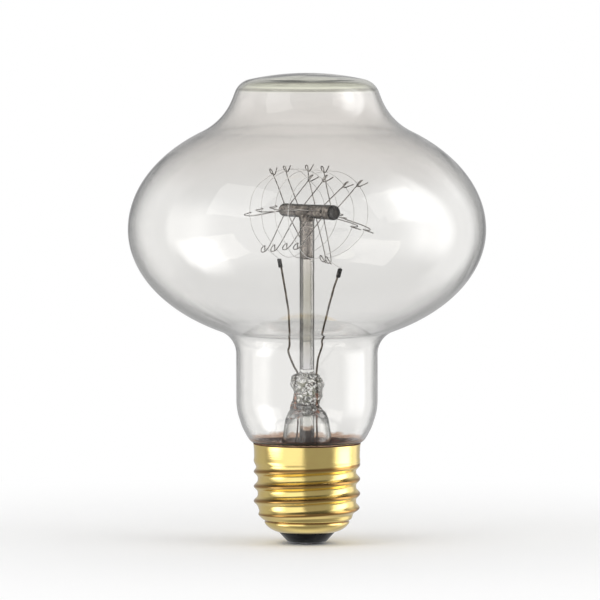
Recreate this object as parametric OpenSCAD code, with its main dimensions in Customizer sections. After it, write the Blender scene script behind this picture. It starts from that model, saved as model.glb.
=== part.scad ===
// Clear decorative incandescent lamp: a wide blown bulb with a crown and a neck, a looped carbon
// filament hung from a glass tee, a pressed glass stem and a medium Edison screw cap.
// Millimetres. Z runs up the lamp's axis and is 0 at the tip of the end contact.

/* [Bulb] */
// Length from the end contact to the top of the crown
overall_length = 115.6; // [114:0.1:118]
// Largest diameter of the bulb
body_d = 88; // [86:0.5:90]
// Height of the largest diameter above the end contact
body_z = 77.2; // [76:0.1:78]
// Rise of the ellipse above the largest diameter
body_rise = 29.7; // [29:0.1:31]
// Drop of the ellipse below the largest diameter
body_drop = 28.5; // [27:0.1:30]
// Diameter of the neck
neck_d = 34.8; // [34:0.1:36]
// Thickness of the blown glass
glass_t = 0.7; // [0.5:0.05:0.9]

/* [Crown] */
// Share of the body's radius at which the crown's root begins
crown_root = 0.585; // [0.57:0.005:0.6]
// Hollow radius at the crown's root
crown_root_r = 15; // [13:0.5:16]
// Lean of the crown's wall from upright, in degrees
crown_lean = 21; // [19:1:23]
// Radius of the crown's shoulder
crown_shoulder_r = 5; // [4:0.5:6]
// Slope of the top where it meets the shoulder, in degrees
crown_top_slope = 12.5; // [10:0.5:14]

/* [Cap] */
// Outside diameter over the thread's crests
thread_d = 26.2; // [26.1:0.05:26.3]
// Pitch of the thread, seven turns to the inch
thread_pitch = 3.629; // [3.6:0.001:3.65]
// Depth of the rolled thread
thread_depth = 1; // [0.9:0.05:1]
// Thickness of the brass sheet
shell_t = 0.3; // [0.2:0.05:0.3]
// Height of the brass rim above the end contact
rim_z = 24.6; // [24.5:0.05:24.6]

/* [Stem and support] */
// Diameter of the glass arbor and of the exhaust tube
cane_d = 3.6; // [3.4:0.1:3.7]
// Height of the cross bar's axis
bar_z = 81.8; // [81:0.1:82]
// Length of the cross bar
bar_len = 23.4; // [23.2:0.1:24.5]
// Diameter of the cross bar
bar_d = 3.3; // [3.1:0.1:3.5]
// Direction of the cross bar, in degrees from +X
bar_turn = -57; // [-60:1:-54]
// Direction of the press's wide side, in degrees from +X
press_turn = -30; // [-32:1:-28]

/* [Filament and wires] */
// Number of filament loops
loop_count = 4; // [3:1:4]
// Mean radius of the loops
loop_r = 11; // [10.9:0.1:11.2]
// Mean distance from one loop to the next
loop_pitch = 6.1; // [5.9:0.1:6.3]
// Diameter of the filament
filament_d = 0.2; // [0.15:0.01:0.22]
// Diameter of an anchor wire
anchor_d = 0.34; // [0.28:0.01:0.36]
// Diameter of a lead-in wire
lead_d = 0.5; // [0.45:0.01:0.52]

/* [Hidden] */
// The loops' tables have a row for each loop and a column for each of its anchors. They were set by
// hand: directions round the bar in degrees from straight up, then how far each anchor holds the
// filament, and how far its foot stands, from the loop's mean place along the bar.
ANCHOR_DIRS = [[217, 266, 333, 405, 455, 515], [220, 272, 343, 405, 457, 523],
               [225, 276, 353, 414, 469, 528], [227, 278, 349, 411, 472, 532]];
ANCHOR_DRIFTS = [[0.7, 0.2, 0.8, -1.2, -0.3, -0.3], [-0.2, -0.5, -1.9, -0.8, -0.8, -1.5],
                 [0.3, -0.4, -0.8, 0.6, 0.5, 0], [-0.5, -0.5, 1.2, 1.3, 0.4, -2.4]];
ANCHOR_FEET = [[0.3, 0, 0.2, -0.7, -0.3, 0], [-0.3, -0.3, -0.5, -0.4, -0.4, -0.6],
               [-0.1, -0.1, 0.8, 1.4, 0.2, 0.6], [-0.3, -0.3, 2, 2.4, 0.3, -1.9]];
// How much further out than the mean radius each column's anchors hold the filament, and how far it
// bows out half-way to the next anchor.
ANCHOR_REACHES = [0.45, 0, -0.9, -0.5, 0.6, 0.5];
SPAN_BOWS = [0, 0.5, 0, 0.2, 0, 0.3];
ANCHOR_NAMES = [for (loop = [1:loop_count], k = [1:len(ANCHOR_REACHES)]) str("anchor_", loop, "_", k)];
$fn = 48;

// Colours of the pieces.
clear_glass = [0.86, 0.88, 0.87, 0.35];
smoky_glass = [0.45, 0.42, 0.38];
nickel = [0.32, 0.30, 0.28];
copper = [0.72, 0.42, 0.27];
carbon = [0.35, 0.34, 0.33];
brass = [0.85, 0.68, 0.30];
black_glass = [0.05, 0.05, 0.06];
cement = [0.33, 0.20, 0.15];
solder = [0.42, 0.42, 0.43];

// Bulb: the fillet under the body, the rounding of the neck's foot and the straight end in the cap.
body_r = body_d / 2;
neck_r = neck_d / 2;
neck_fillet_r = 6;
neck_foot_r = 16;
neck_foot_z = 35.5;
neck_foot_turn = -14;
cap_neck_r = 11;
cap_neck_z = 19.5;
seal_z = 13.5;

// Stem: the flare, the press above it and the tubes that it holds.
flare_rim_r = cap_neck_r - 0.1;
flare_rim_foot_z = seal_z - 0.9;
flare_lip_r = 9.3;
flare_t = 0.7;
flare_top_r = 4.6;
press_z = 32.4;
press_lead_r = 2.7;
press_lump = 0.045;
lead_clearance = 0.16;
cane_bore_d = 2.4;
arbor_foot_z = 39.8;
exhaust_head_z = 34.2;
exhaust_tip_z = 8.5;
exhaust_port_z = 35.6;
exhaust_port_d = 1.8;

// Tee: its ends, the stem inside the arbor and how deep the anchors stand in the bar.
tee_shift = 0.5;
tee_soft_end_r = 1.3;
tee_cut_end_r = 0.35;
tee_cut_swell = 0.1;
tee_cut_swell_l = 2;
tee_stem_z = 69.8;
tee_stem_clearance = 0.05;
anchor_sink = 1.05;
anchor_straight = 0.4;

// Loops and the pigtails at the anchors' ends.
pigtail_r = 0.85;
pigtail_pitch = 0.9;
pigtail_start = 0.45;
tail_along = 2.1;
tail_out = 1.45;
wire_gap = 0.08;

// Wires and their joints.
seal_wire_foot_z = 31.6;
seal_wire_head_z = 37;
copper_d = 0.4;
clamp_size = [0.7, 1.05, 2.2];
clamp_shift = 0.17;
clamp_above_tip = 0.11;
filament_seat = 0.4;
filament_overrun = 5;
steps_per_knot = 2;
side_lead_r = 11.38;
rim_joint = [12.35, 23.4];
rim_joint_dir = 122;
rim_bead_r = 0.7;

// Cap: where the thread starts and ends, the insulator and the contact.
shell_sides = 40;
levels_per_pitch = 8;
thread_foot_r = 10.6;
thread_foot_z = 5.6;
thread_full_z = 9.6;
thread_head_z = 20.6;
thread_in = 2.4;
thread_out = 2.8;
groove_z = 14.1;
lining_clearance = 0.06;
cement_foot_z = 14.5;
cement_head_z = 24;
cement_collar_z = 26.2;
cement_collar_t = 0.35;
contact_z = 0.5;
contact_r = 4.2;
contact_t = 0.35;
lead_hole_r = 0.6;
nub_face_r = 1.1;

// Geometry helpers.
function unit(v) = v / norm(v);
function mix(a, b, s) = a + (b - a) * s;
function ease(s) = let (x = min(1, max(0, s))) x * x * (3 - 2 * x);
function polar(r, a) = r * [cos(a), sin(a)];
function upright(r, a, z) = [r * cos(a), r * sin(a), z];
function arc(c, r, a0, a1, n) = [for (i = [0:n]) c + polar(r, mix(a0, a1, i / n))];
function reversed(list) = [for (i = [len(list) - 1:-1:0]) list[i]];
function last(list) = list[len(list) - 1];

// The path moved sideways by d: to its right for a positive d.
function moved_aside(p, d) =
    [for (i = [0:len(p) - 1])
        let (t = unit(p[min(i + 1, len(p) - 1)] - p[max(i - 1, 0)])) p[i] + d * [t[1], -t[0]]];

// A smooth curve through the route's points, with n steps between each pair.
function smooth(p, n) =
    [for (i = [0:len(p) - 2], k = [0:n - (i == len(p) - 2 ? 0 : 1)])
        let (a = p[max(i - 1, 0)], b = p[i], c = p[i + 1], d = p[min(i + 2, len(p) - 1)], s = k / n)
        0.5 * (2 * b + (c - a) * s + (2 * a - 5 * b + 4 * c - d) * s * s
               + (3 * b - a - 3 * c + d) * s * s * s)];

// The least gap between stretches of a wire that are more than the given number of points apart.
function least_gap(path, d, apart) =
    min([for (i = [0:len(path) - 1 - apart], j = [i + apart:len(path) - 1]) norm(path[i] - path[j])]) - d;

// Joins rings of n points each into the faces of a closed skin, ends included.
function skin_faces(rings, n) = concat(
    [for (i = [0:rings - 2], k = [0:n - 1])
        let (a = i * n + k, b = i * n + (k + 1) % n) each [[a, a + n, b], [b, a + n, b + n]]],
    [for (k = [1:n - 2])
        let (top = (rings - 1) * n) each [[0, k, k + 1], [top, top + k + 1, top + k]]]);

// Sweeps a round wire of diameter d along a path, with its first side towards the vector up.
module wire(path, d, sides = 6, up = [0, 0, 1]) {
    end = len(path) - 1;
    tangents = [for (i = [0:end]) unit(path[min(i + 1, end)] - path[max(i - 1, 0)])];
    function square_to(n, t) = unit(n - (n * t) * t);
    normals = [for (i = 0, n = square_to(up, tangents[0]); i <= end;
                    i = i + 1, n = i <= end ? square_to(n, tangents[i]) : n) n];
    points = [for (i = [0:end], k = [0:sides - 1])
        let (a = 360 * k / sides)
        path[i] + d / 2 * (cos(a) * normals[i] + sin(a) * cross(tangents[i], normals[i]))];
    polyhedron(points, skin_faces(end + 1, sides));
}

// Bulb.
// A point of the body at an angle from the widest circle, and the direction out of the glass there.
function body_point(a) = [body_r * cos(a), body_z + (a > 0 ? body_rise : body_drop) * sin(a)];
function body_normal(a) = unit([cos(a) / body_r, sin(a) / (a > 0 ? body_rise : body_drop)]);

// The angle at which the fillet under the body touches both the body and the neck.
function neck_angle(lo = -89, hi = -20, tries = 24) =
    let (a = (lo + hi) / 2, r = (body_point(a) + neck_fillet_r * body_normal(a))[0])
    tries == 0 ? a
    : r < neck_r + neck_fillet_r ? neck_angle(a, hi, tries - 1) : neck_angle(lo, a, tries - 1);

// The crown: a hollow root, a leaning wall whose length makes up the overall length, a rounded
// shoulder and a low dome whose centre is on the axis.
function crown() =
    let (a = acos(crown_root),
         n = body_normal(a),
         root_c = body_point(a) + crown_root_r * n,
         foot = root_c - polar(crown_root_r, crown_lean),
         shoulder_span = polar(1, 90 - crown_top_slope) - polar(1, crown_lean),
         half = tan(crown_top_slope / 2),
         head = foot + crown_shoulder_r * shoulder_span,
         wall_l = (overall_length - head[1] - head[0] * half)
                  / (cos(crown_lean) - sin(crown_lean) * half),
         wall_head = foot + wall_l * [-sin(crown_lean), cos(crown_lean)],
         shoulder_c = wall_head - polar(crown_shoulder_r, crown_lean),
         dome_foot = shoulder_c + polar(crown_shoulder_r, 90 - crown_top_slope),
         dome_r = dome_foot[0] / sin(crown_top_slope))
    concat(arc(root_c, crown_root_r, atan2(-n[1], -n[0]), crown_lean - 180, 7),
           arc(shoulder_c, crown_shoulder_r, crown_lean, 90 - crown_top_slope, 7),
           [for (i = [1:4]) let (s = crown_top_slope * (1 - i / 4))
               [i == 4 ? 0 : dome_r * sin(s), overall_length - dome_r * (1 - cos(s))]]);

// The neck's outside where it draws in to pass through the brass rim.
function neck_foot() =
    let (c = [neck_r - neck_foot_r, neck_foot_z])
    concat(smooth([[cap_neck_r, cap_neck_z], [11.3, 21.6], [11.9, 23.4], [12.75, 24.6], [13.8, 25.2],
                   [14.55, 26.1], [15.35, 27.5], [16.1, 29.1], c + polar(neck_foot_r, neck_foot_turn)], 3),
           arc(c, neck_foot_r, neck_foot_turn * 2 / 3, 0, 2));

// The outside of the bulb, from the seal inside the cap up to the crown.
function bulb_outside() =
    let (low = neck_angle(),
         out = body_normal(low),
         fillet_c = body_point(low) + neck_fillet_r * out)
    concat([[cap_neck_r, seal_z]],
           neck_foot(),
           arc(fillet_c, neck_fillet_r, 180, atan2(-out[1], -out[0]), 7),
           [for (i = [1:26]) body_point(mix(low, acos(crown_root), i / 27))],
           crown());

// The bulb is one piece of blown glass. It is drawn in three stretches that meet in the middle of
// the fillets, so that each is a simple rounded form.
crown_points = 20;
fillet_middle = 4;
neck_end = len(neck_foot()) + 1 + fillet_middle;
crown_start = len(bulb_outside()) - crown_points + fillet_middle;

module bulb_stretch(start, end) color(clear_glass) {
    outside = bulb_outside();
    inside = [for (p = moved_aside(outside, -glass_t)) [max(0, p[0]), p[1]]];
    rotate_extrude() polygon(concat([for (i = [start:end]) outside[i]],
                                    [for (i = [end:-1:start]) inside[i]]));
}

module envelope_neck() bulb_stretch(0, neck_end);
module envelope_body() bulb_stretch(neck_end, crown_start);
module envelope_crown() bulb_stretch(crown_start, len(bulb_outside()) - 1);

// Stem.
// The flare opens downwards from the press like a trumpet, and its rim is fused to the neck's end.
function flare_outside() =
    smooth([[cap_neck_r - glass_t - 0.05, seal_z], [8.8, 14.5], [7.5, 17.4], [6.7, 21.4], [6.1, 25],
            [5.75, 27.8], [5.35, 30.3], [flare_top_r, press_z]], 3);

module stem_flare() color(clear_glass) {
    outside = flare_outside();
    inside = [for (p = moved_aside(outside, -flare_t))
        if (p[1] > flare_rim_foot_z + 0.4 && p[0] < flare_lip_r) [p[0], min(p[1], press_z)]];
    rotate_extrude() polygon(concat([[flare_rim_r, flare_rim_foot_z], [flare_rim_r, seal_z]], outside,
                                    reversed(inside), [[flare_lip_r, flare_rim_foot_z]]));
}

// The press is squeezed flat round the seal wires, from the flare's round top to a lumpy head.
// Each section has its height, half its width and half its thickness.
function press_sections() = smooth([[press_z, flare_top_r, flare_top_r], [33.2, 4.3, 3.7],
    [34.4, 3.7, 2.5], [36.6, 4.05, 2.3], [39.4, 4.5, 2.7], [40.9, 4.1, 2.6], [41.6, 3.3, 2.3]], 2);

module press_blank() {
    sections = press_sections();
    count = 28;
    points = [for (s = sections, k = [0:count - 1])
        let (a = 360 * k / count, swell = 1 + press_lump * sin(5 * a + 70 * s[0]) * ease((s[0] - 33) / 3))
        [s[1] * swell * cos(a), s[2] * swell * sin(a), s[0]]];
    polyhedron(points, skin_faces(len(sections), count));
}

module stem_press() color(clear_glass) rotate(press_turn) difference() {
    press_blank();
    for (side = [-1, 1]) translate([side * press_lead_r, 0, 0]) {
        translate([0, 0, seal_wire_foot_z]) cylinder(d = lead_d, h = 12);
        translate([0, 0, seal_wire_head_z]) cylinder(d = lead_d + lead_clearance, h = 6);
    }
    translate([0, 0, arbor_foot_z]) cylinder(d = cane_d, h = 5);
    translate([0, 0, press_z - 1]) cylinder(d = cane_d, h = exhaust_head_z - press_z + 1);
    translate([0, 0, press_z]) cylinder(d = cane_bore_d, h = exhaust_port_z - press_z);
    translate([0, 0, exhaust_port_z]) rotate([90, 0, 0]) cylinder(d = exhaust_port_d, h = 8);
}

// The exhaust tube is drawn to a point where it was sealed off.
module exhaust_tube() color(clear_glass) {
    r = cane_d / 2;
    bore = cane_bore_d / 2;
    rotate_extrude() polygon([[0, exhaust_tip_z], [0.5, exhaust_tip_z + 0.3], [1.1, exhaust_tip_z + 1.6],
        [r, exhaust_tip_z + 4], [r, exhaust_head_z], [bore, exhaust_head_z],
        [bore, exhaust_tip_z + 4.2], [0, exhaust_tip_z + 2]]);
}

module arbor_tube() color(clear_glass) difference() {
    translate([0, 0, arbor_foot_z]) cylinder(d = cane_d, h = bar_z - arbor_foot_z);
    translate([0, 0, arbor_foot_z + 1]) cylinder(d = cane_bore_d, h = bar_z - arbor_foot_z);
    along_bar() cylinder(d = bar_d, h = bar_len, center = true);
}

// Turns something made along Z so that it lies along the cross bar.
module along_bar() translate([0, 0, bar_z]) rotate(bar_turn) rotate([0, 90, 0]) children();

// The tee: a glass bar with one melted and one cut end, and a stem that sits in the arbor's bore.
module tee_bar() color(smoky_glass) difference() {
    union() {
        soft_c = [bar_d / 2 - tee_soft_end_r, tee_soft_end_r - bar_len / 2];
        cut_c = [bar_d / 2 + tee_cut_swell - tee_cut_end_r, bar_len / 2 - tee_cut_end_r];
        along_bar() translate([0, 0, tee_shift]) rotate_extrude() polygon(concat(
            [[0, -bar_len / 2]], arc(soft_c, tee_soft_end_r, -90, 0, 6),
            [[bar_d / 2, bar_len / 2 - tee_cut_swell_l]],
            arc(cut_c, tee_cut_end_r, 0, 90, 4), [[0, bar_len / 2]]));
        translate([0, 0, tee_stem_z])
            cylinder(d = cane_bore_d - 2 * tee_stem_clearance, h = bar_z - tee_stem_z);
    }
    for (loop = [1:loop_count], k = [0:len(ANCHOR_REACHES) - 1])
        translate(bar_point(anchor_dir(loop, k), bar_d / 2 - anchor_sink, anchor_foot(loop, k)))
            rotate([0, 0, bar_turn]) rotate([-anchor_dir(loop, k), 0, 0])
                cylinder(d = anchor_d, h = anchor_sink + 1);
}

// Filament.
// The bar's direction, the direction square to it, and a point beside the bar: a direction round it
// from straight up, a distance out and a place along it.
bar_dir = [cos(bar_turn), sin(bar_turn), 0];
bar_side = [-sin(bar_turn), cos(bar_turn), 0];
function bar_point(dir, out, along) =
    [0, 0, bar_z] + along * bar_dir + out * (sin(dir) * bar_side + [0, 0, cos(dir)]);

// The way the filament runs where it passes a direction round the bar.
function bar_ahead(dir) = cos(dir) * bar_side - [0, 0, sin(dir)];

// The direction of an anchor, counted on from loop to loop, how far out and where along the bar it
// holds the filament, and where its foot stands.
function anchor_dir(loop, k) = ANCHOR_DIRS[loop - 1][k] + 360 * (loop - 1);
function anchor_out(k) = loop_r + ANCHOR_REACHES[k];
function loop_place(loop) = loop_pitch * (loop - (loop_count + 1) / 2);
function anchor_eye(loop, k) = loop_place(loop) + ANCHOR_DRIFTS[loop - 1][k];
function anchor_foot(loop, k) = loop_place(loop) + ANCHOR_FEET[loop - 1][k];

lead_tip_left = [-6.7, 10.7, 69.2];
lead_tip_right = [7.9, -12.3, 67.9];
lead_bend_left = [-5.2, 7.6, 60.5];
lead_bend_right = [5.8, -8.4, 60.5];

// A place beside a lead's end, under the clamp, at a height above the tip.
function seat_point(tip, bend, height) =
    let (run = unit(tip - bend))
    tip + height * run + filament_seat * unit([-run[1], run[0], 0]);

// The filament turns round the bar from anchor to anchor and passes to the next loop at the foot.
function filament_path() =
    let (eyes = [for (loop = [1:loop_count], k = [0:len(ANCHOR_REACHES) - 1])
                    [anchor_dir(loop, k), anchor_out(k), anchor_eye(loop, k)]],
         knots = [for (i = [0:len(eyes) - 1]) each i == len(eyes) - 1 ? [eyes[i]]
                    : [eyes[i], mix(eyes[i], eyes[i + 1], 0.5) + [0, SPAN_BOWS[i % len(SPAN_BOWS)], 0]]],
         turns = concat([eyes[0] - [filament_overrun, 0, 0]], smooth(knots, steps_per_knot),
                        [last(eyes) + [filament_overrun, 0, 0]]))
    concat([seat_point(lead_tip_left, lead_bend_left, -1.3), seat_point(lead_tip_left, lead_bend_left, 0.35)],
           [for (p = turns) bar_point(p[0], p[1], p[2])],
           [seat_point(lead_tip_right, lead_bend_right, 0.35),
            seat_point(lead_tip_right, lead_bend_right, -1.3)]);

module filament() color(carbon) wire(filament_path(), filament_d, 6, [1, 0, 0]);

// An anchor stands straight out of the bar and runs to the filament. It curls once round it, so that
// the filament lies in the curl's inner side, and ends in a short tail.
function anchor_path(loop, k) =
    let (dir = anchor_dir(loop, k),
         foot = anchor_foot(loop, k),
         eye = anchor_eye(loop, k),
         out = anchor_out(k),
         surface = bar_d / 2,
         curl_out = out + pigtail_r - anchor_d / 2 - filament_d / 2 - wire_gap,
         ahead = pigtail_pitch * bar_ahead(dir))
    concat([bar_point(dir, surface - anchor_sink + wire_gap, foot),
            bar_point(dir, surface + anchor_straight, foot),
            bar_point(dir, out - 2 * pigtail_r, eye + pigtail_r) - pigtail_start * ahead],
           [for (a = [0:45:315])
               bar_point(dir, curl_out + pigtail_r * sin(a), eye + pigtail_r * cos(a))
                   + (a / 360 - pigtail_start) * ahead],
           [bar_point(dir, out + tail_out, eye + tail_along) + (1 - pigtail_start) * ahead]);

module anchor(loop, k) color(nickel) wire(anchor_path(loop, k), anchor_d, 6, bar_dir);

echo(filament_gap_to_itself = least_gap(filament_path(), filament_d, 12));
echo(anchor_gap_to_itself = least_gap(anchor_path(1, 0), anchor_d, 6));

// Wires from the filament to the cap.
function press_point(side, z) = upright(side * press_lead_r, press_turn, z);

// A route and then a straight end up to its tip, for the clamp.
function to_tip(route, tip) = concat(route, [for (s = [1:3]) mix(last(route), tip, s / 3)]);

lead_route_left = to_tip([press_point(-1, seal_wire_head_z), press_point(-1, 39.4), press_point(-1, 41.8),
    [-3.2, 2.4, 43.4], [-4.1, 3.5, 45.5], [-4.6, 4.2, 47.6], [-4.3, 4.8, 49.6], [-4.5, 6.1, 55.6],
    lead_bend_left], lead_tip_left);
lead_route_right = to_tip([press_point(1, seal_wire_head_z), press_point(1, 39.4), press_point(1, 41.8),
    [2.5, -1.8, 43.8], [2.8, -2.4, 46], [3.7, -4, 49.4], [3.8, -4.8, 52], lead_bend_right], lead_tip_right);

module lead_in(route) color(nickel) wire(smooth(route, 3), lead_d, 8, [1, 0, 0]);

// A scrap of nickel folded over the ends of a lead and of the filament, which lie side by side.
module clamp(tip, bend) color(nickel) {
    run = unit(tip - bend);
    middle = tip - (clamp_size[2] / 2 - clamp_above_tip) * run;
    translate(middle) rotate([0, acos(run[2]), atan2(run[1], run[0])]) difference() {
        translate([0, clamp_shift, 0]) cube(clamp_size, center = true);
        cylinder(d = lead_d + 0.06, h = clamp_size[2] + 1, center = true);
        translate([0, filament_seat, -0.5]) cylinder(d = filament_d + 0.06, h = clamp_size[2]);
    }
}

module seal_wire(side) color(copper) translate(press_point(side, seal_wire_foot_z))
    cylinder(d = lead_d, h = seal_wire_head_z - seal_wire_foot_z);

// The side lead rounds the flare's rim and rises between the neck and the shell.
side_route = [press_point(-1, seal_wire_foot_z), [-2.3, 1.6, 29], [-2.8, 2.6, 24], [-3.6, 4.2, 18],
    [-5, 7, 12.6], upright(10.8, rim_joint_dir, 11), upright(side_lead_r, rim_joint_dir, 12.6),
    upright(side_lead_r, rim_joint_dir, 15.6), upright(side_lead_r, rim_joint_dir, 18.6),
    upright(12.05, rim_joint_dir, 21.6), upright(rim_joint[0], rim_joint_dir, 23.3)];
centre_route = [press_point(1, seal_wire_foot_z), [2.4, -1.5, 27], [2.7, -1.4, 18], [2.5, -1.2, 10],
    [1, -0.4, 7.6], [0, 0, 6.2], [0, 0, 3.5], [0, 0, 0.7]];

module copper_lead(route, d = copper_d) color(copper) wire(smooth(route, 3), d, 8, [1, 0, 0]);

// Cap.
// The outside of the shell without its grooves, from the foot to the rim, as [radius, height].
function shell_line() =
    let (full = thread_full_z - thread_foot_z)
    concat([[7.15, 2.9], [8.4, 3.35], [9.5, 4.05], [10.25, 4.85], [thread_foot_r, thread_foot_z]],
           [for (z = [thread_foot_z + 0.4:thread_pitch / levels_per_pitch:thread_head_z])
               [mix(thread_foot_r, thread_d / 2, sin(90 * min(1, (z - thread_foot_z) / full))), z]],
           [[thread_d / 2 - 0.1, 21.4], [thread_d / 2 - 0.04, 23.4], [thread_d / 2 + 0.08, rim_z]]);

// Share of the full thread depth at a height: the rollers run in and out gradually.
function thread_share(z) = ease((z - thread_foot_z) / thread_in) * ease((thread_head_z - z) / thread_out);

// Depth of the rolled groove at a height and an angle. The thread is right-handed, and groove_z is
// the height of a groove at the angle 0.
function groove(z, a) =
    thread_depth * thread_share(z) * (1 + cos(360 * (z - groove_z) / thread_pitch - a)) / 2;

// A ring of the shell's points, with the groove of the height groove_z.
function shell_ring(r, z, groove_z) =
    [for (k = [0:shell_sides - 1])
        let (a = 360 * k / shell_sides) upright(r - groove(groove_z, a), a, z)];

module screw_shell() color(brass) {
    line = shell_line();
    lining = moved_aside(line, -shell_t);
    end = len(line) - 1;
    outer_rings = [for (p = line) each shell_ring(p[0], p[1], p[1])];
    inner_rings = [for (i = [0:end])
        each shell_ring(lining[i][0], i == end ? rim_z : lining[i][1], line[i][1])];
    inner = len(outer_rings);
    top = end * shell_sides;
    next = [for (k = [1:shell_sides]) k % shell_sides];
    walls = [for (i = [0:end - 1], k = [0:shell_sides - 1])
        let (a = i * shell_sides + k, b = i * shell_sides + next[k], up = shell_sides)
        each [[a, a + up, b], [b, a + up, b + up],
              [inner + a, inner + b, inner + a + up], [inner + b, inner + b + up, inner + a + up]]];
    edges = [for (k = [0:shell_sides - 1], level = [0, top])
        let (a = level + k, b = level + next[k])
        each level == 0 ? [[a, b, inner + a], [b, inner + b, inner + a]]
                        : [[a, inner + a, b], [b, inner + a, inner + b]]];
    polyhedron(concat(outer_rings, inner_rings), concat(walls, edges));
}

// Cement fills the gap between the neck and the shell, round the side lead and its joint. It was
// squeezed up over the rim and clings to the neck's foot in a thin collar.
module basing_cement() color(cement) difference() {
    wall = thread_d / 2 - shell_t - thread_depth - lining_clearance;
    rim_r = thread_d / 2 - shell_t + 0.02;
    neck = [for (p = neck_foot()) if (p[1] < cement_collar_z) p];
    collar = [for (p = moved_aside(neck, cement_collar_t))
        if (p[1] > rim_z + 0.25 && p[1] < cement_collar_z - 0.3) p];
    rotate_extrude() polygon(concat([[cap_neck_r, cement_foot_z], [wall, cement_foot_z], [wall, 19.8],
        [12.58, 21.3], [12.66, cement_head_z], [rim_r, rim_z + 0.04], [rim_r + 0.35, rim_z + 0.06]],
        collar, reversed(neck)));
    copper_lead(side_route, copper_d + 0.02);
    rim_bead();
}

// The solder of the rim joint, which keeps clear of the neck and touches the shell's lining.
module rim_bead() intersection() {
    translate(upright(rim_joint[0], rim_joint_dir, rim_joint[1])) sphere(r = rim_bead_r);
    rotate_extrude() polygon([[11.95, 22.5], [12.68, 22.5], [12.68, cement_head_z], [12.4, cement_head_z]]);
}

module rim_solder() color(solder) difference() {
    rim_bead();
    copper_lead(side_route, copper_d + 0.02);
}

// Black glass moulded into the shell's foot, with a seat for the contact and a hole for the lead.
module insulator() color(black_glass) {
    seat_z = contact_z + contact_t;
    rotate_extrude() polygon([[lead_hole_r, seat_z], [contact_r, seat_z], [contact_r, contact_z],
        [4.8, contact_z], [6.85, 2.75], [6.95, 3.3], [8.1, 3.75], [9.2, 4.4], [9.75, 5.1], [9.9, 6.2],
        [8.4, 6.6], [3.2, 5.2], [lead_hole_r, 5.2]]);
}

module end_contact() color(solder) translate([0, 0, contact_z]) difference() {
    cylinder(r = contact_r, h = contact_t);
    translate([0, 0, -1]) cylinder(r = lead_hole_r, h = contact_t + 2);
}

// The nub fills the contact's hole, holds the centre lead and rests on the socket's spring.
module tip_solder() color(solder) difference() {
    rotate_extrude() polygon([[0, 0], [nub_face_r, 0], [1.45, 0.1], [1.7, 0.28], [1.8, contact_z],
        [lead_hole_r, contact_z], [lead_hole_r, 1.6], [0, 1.6]]);
    translate([0, 0, 0.7]) cylinder(d = copper_d, h = 2);
}

envelope_crown();
envelope_body();
envelope_neck();
stem_flare();
stem_press();
exhaust_tube();
arbor_tube();
tee_bar();
filament();
lead_in(lead_route_left);  // lead_in_left
lead_in(lead_route_right);  // lead_in_right
clamp(lead_tip_left, lead_bend_left);  // clamp_left
clamp(lead_tip_right, lead_bend_right);  // clamp_right
seal_wire(-1);  // seal_wire_left
seal_wire(1);  // seal_wire_right
copper_lead(side_route);  // side_lead
copper_lead(centre_route);  // centre_lead
screw_shell();
basing_cement();
insulator();
end_contact();
tip_solder();
rim_solder();
for (loop = [1:loop_count], k = [0:len(ANCHOR_REACHES) - 1])
    anchor(loop, k);
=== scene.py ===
"""Clear decorative filament lamp: blown bulb, filament on a glass tee, pressed stem and brass screw base."""

import math

import bmesh
import bpy
from bpy.props import FloatProperty, FloatVectorProperty, IntProperty, PointerProperty
from mathutils import Matrix, Vector, noise


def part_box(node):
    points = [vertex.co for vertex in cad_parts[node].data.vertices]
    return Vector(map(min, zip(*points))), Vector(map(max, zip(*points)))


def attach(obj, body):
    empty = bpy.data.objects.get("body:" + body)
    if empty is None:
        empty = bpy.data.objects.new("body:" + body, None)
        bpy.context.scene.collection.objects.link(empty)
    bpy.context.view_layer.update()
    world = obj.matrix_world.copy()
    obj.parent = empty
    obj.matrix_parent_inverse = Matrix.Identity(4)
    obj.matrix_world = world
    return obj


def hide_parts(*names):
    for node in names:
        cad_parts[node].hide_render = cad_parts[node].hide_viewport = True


bl_info = {
    "name": "Filament Lamp Builder",
    "version": (1, 0, 0),
    "blender": (4, 5, 0),
    "location": "View3D > Sidebar > Filament Lamp",
    "description": "Builds a clear filament lamp round its packed solids, with its finishes and studio",
    "category": "Object",
}

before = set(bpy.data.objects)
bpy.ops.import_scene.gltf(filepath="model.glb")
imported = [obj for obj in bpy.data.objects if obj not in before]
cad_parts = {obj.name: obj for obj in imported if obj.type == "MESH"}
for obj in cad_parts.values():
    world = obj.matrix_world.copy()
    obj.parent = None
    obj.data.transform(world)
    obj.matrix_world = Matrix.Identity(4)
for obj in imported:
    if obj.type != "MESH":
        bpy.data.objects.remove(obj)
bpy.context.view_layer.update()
MM = 0.001


def node_width(name):
    """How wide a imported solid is, from left to right."""
    low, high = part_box(name)
    return high.x - low.x


# Sizes and colours that a user would change.


class BulbSettings(bpy.types.PropertyGroup):
    body_diameter: FloatProperty(
        name="Body diameter", description="Largest diameter of the blown bulb",
        default=node_width("envelope_body"), unit="LENGTH", precision=4)
    overall_length: FloatProperty(
        name="Overall length", description="From the end contact to the top of the crown",
        default=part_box("envelope_crown")[1].z, unit="LENGTH", precision=4)
    neck_diameter: FloatProperty(
        name="Neck diameter", description="Diameter of the neck above the brass rim",
        default=0.0348, unit="LENGTH", precision=4)
    wall: FloatProperty(
        name="Wall", description="Thickness of the blown glass", default=0.0007, unit="LENGTH", precision=5)
    tint: FloatVectorProperty(
        name="Tint", description="What the glass lets through", subtype="COLOR", default=(0.91, 0.905, 0.893))


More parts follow.
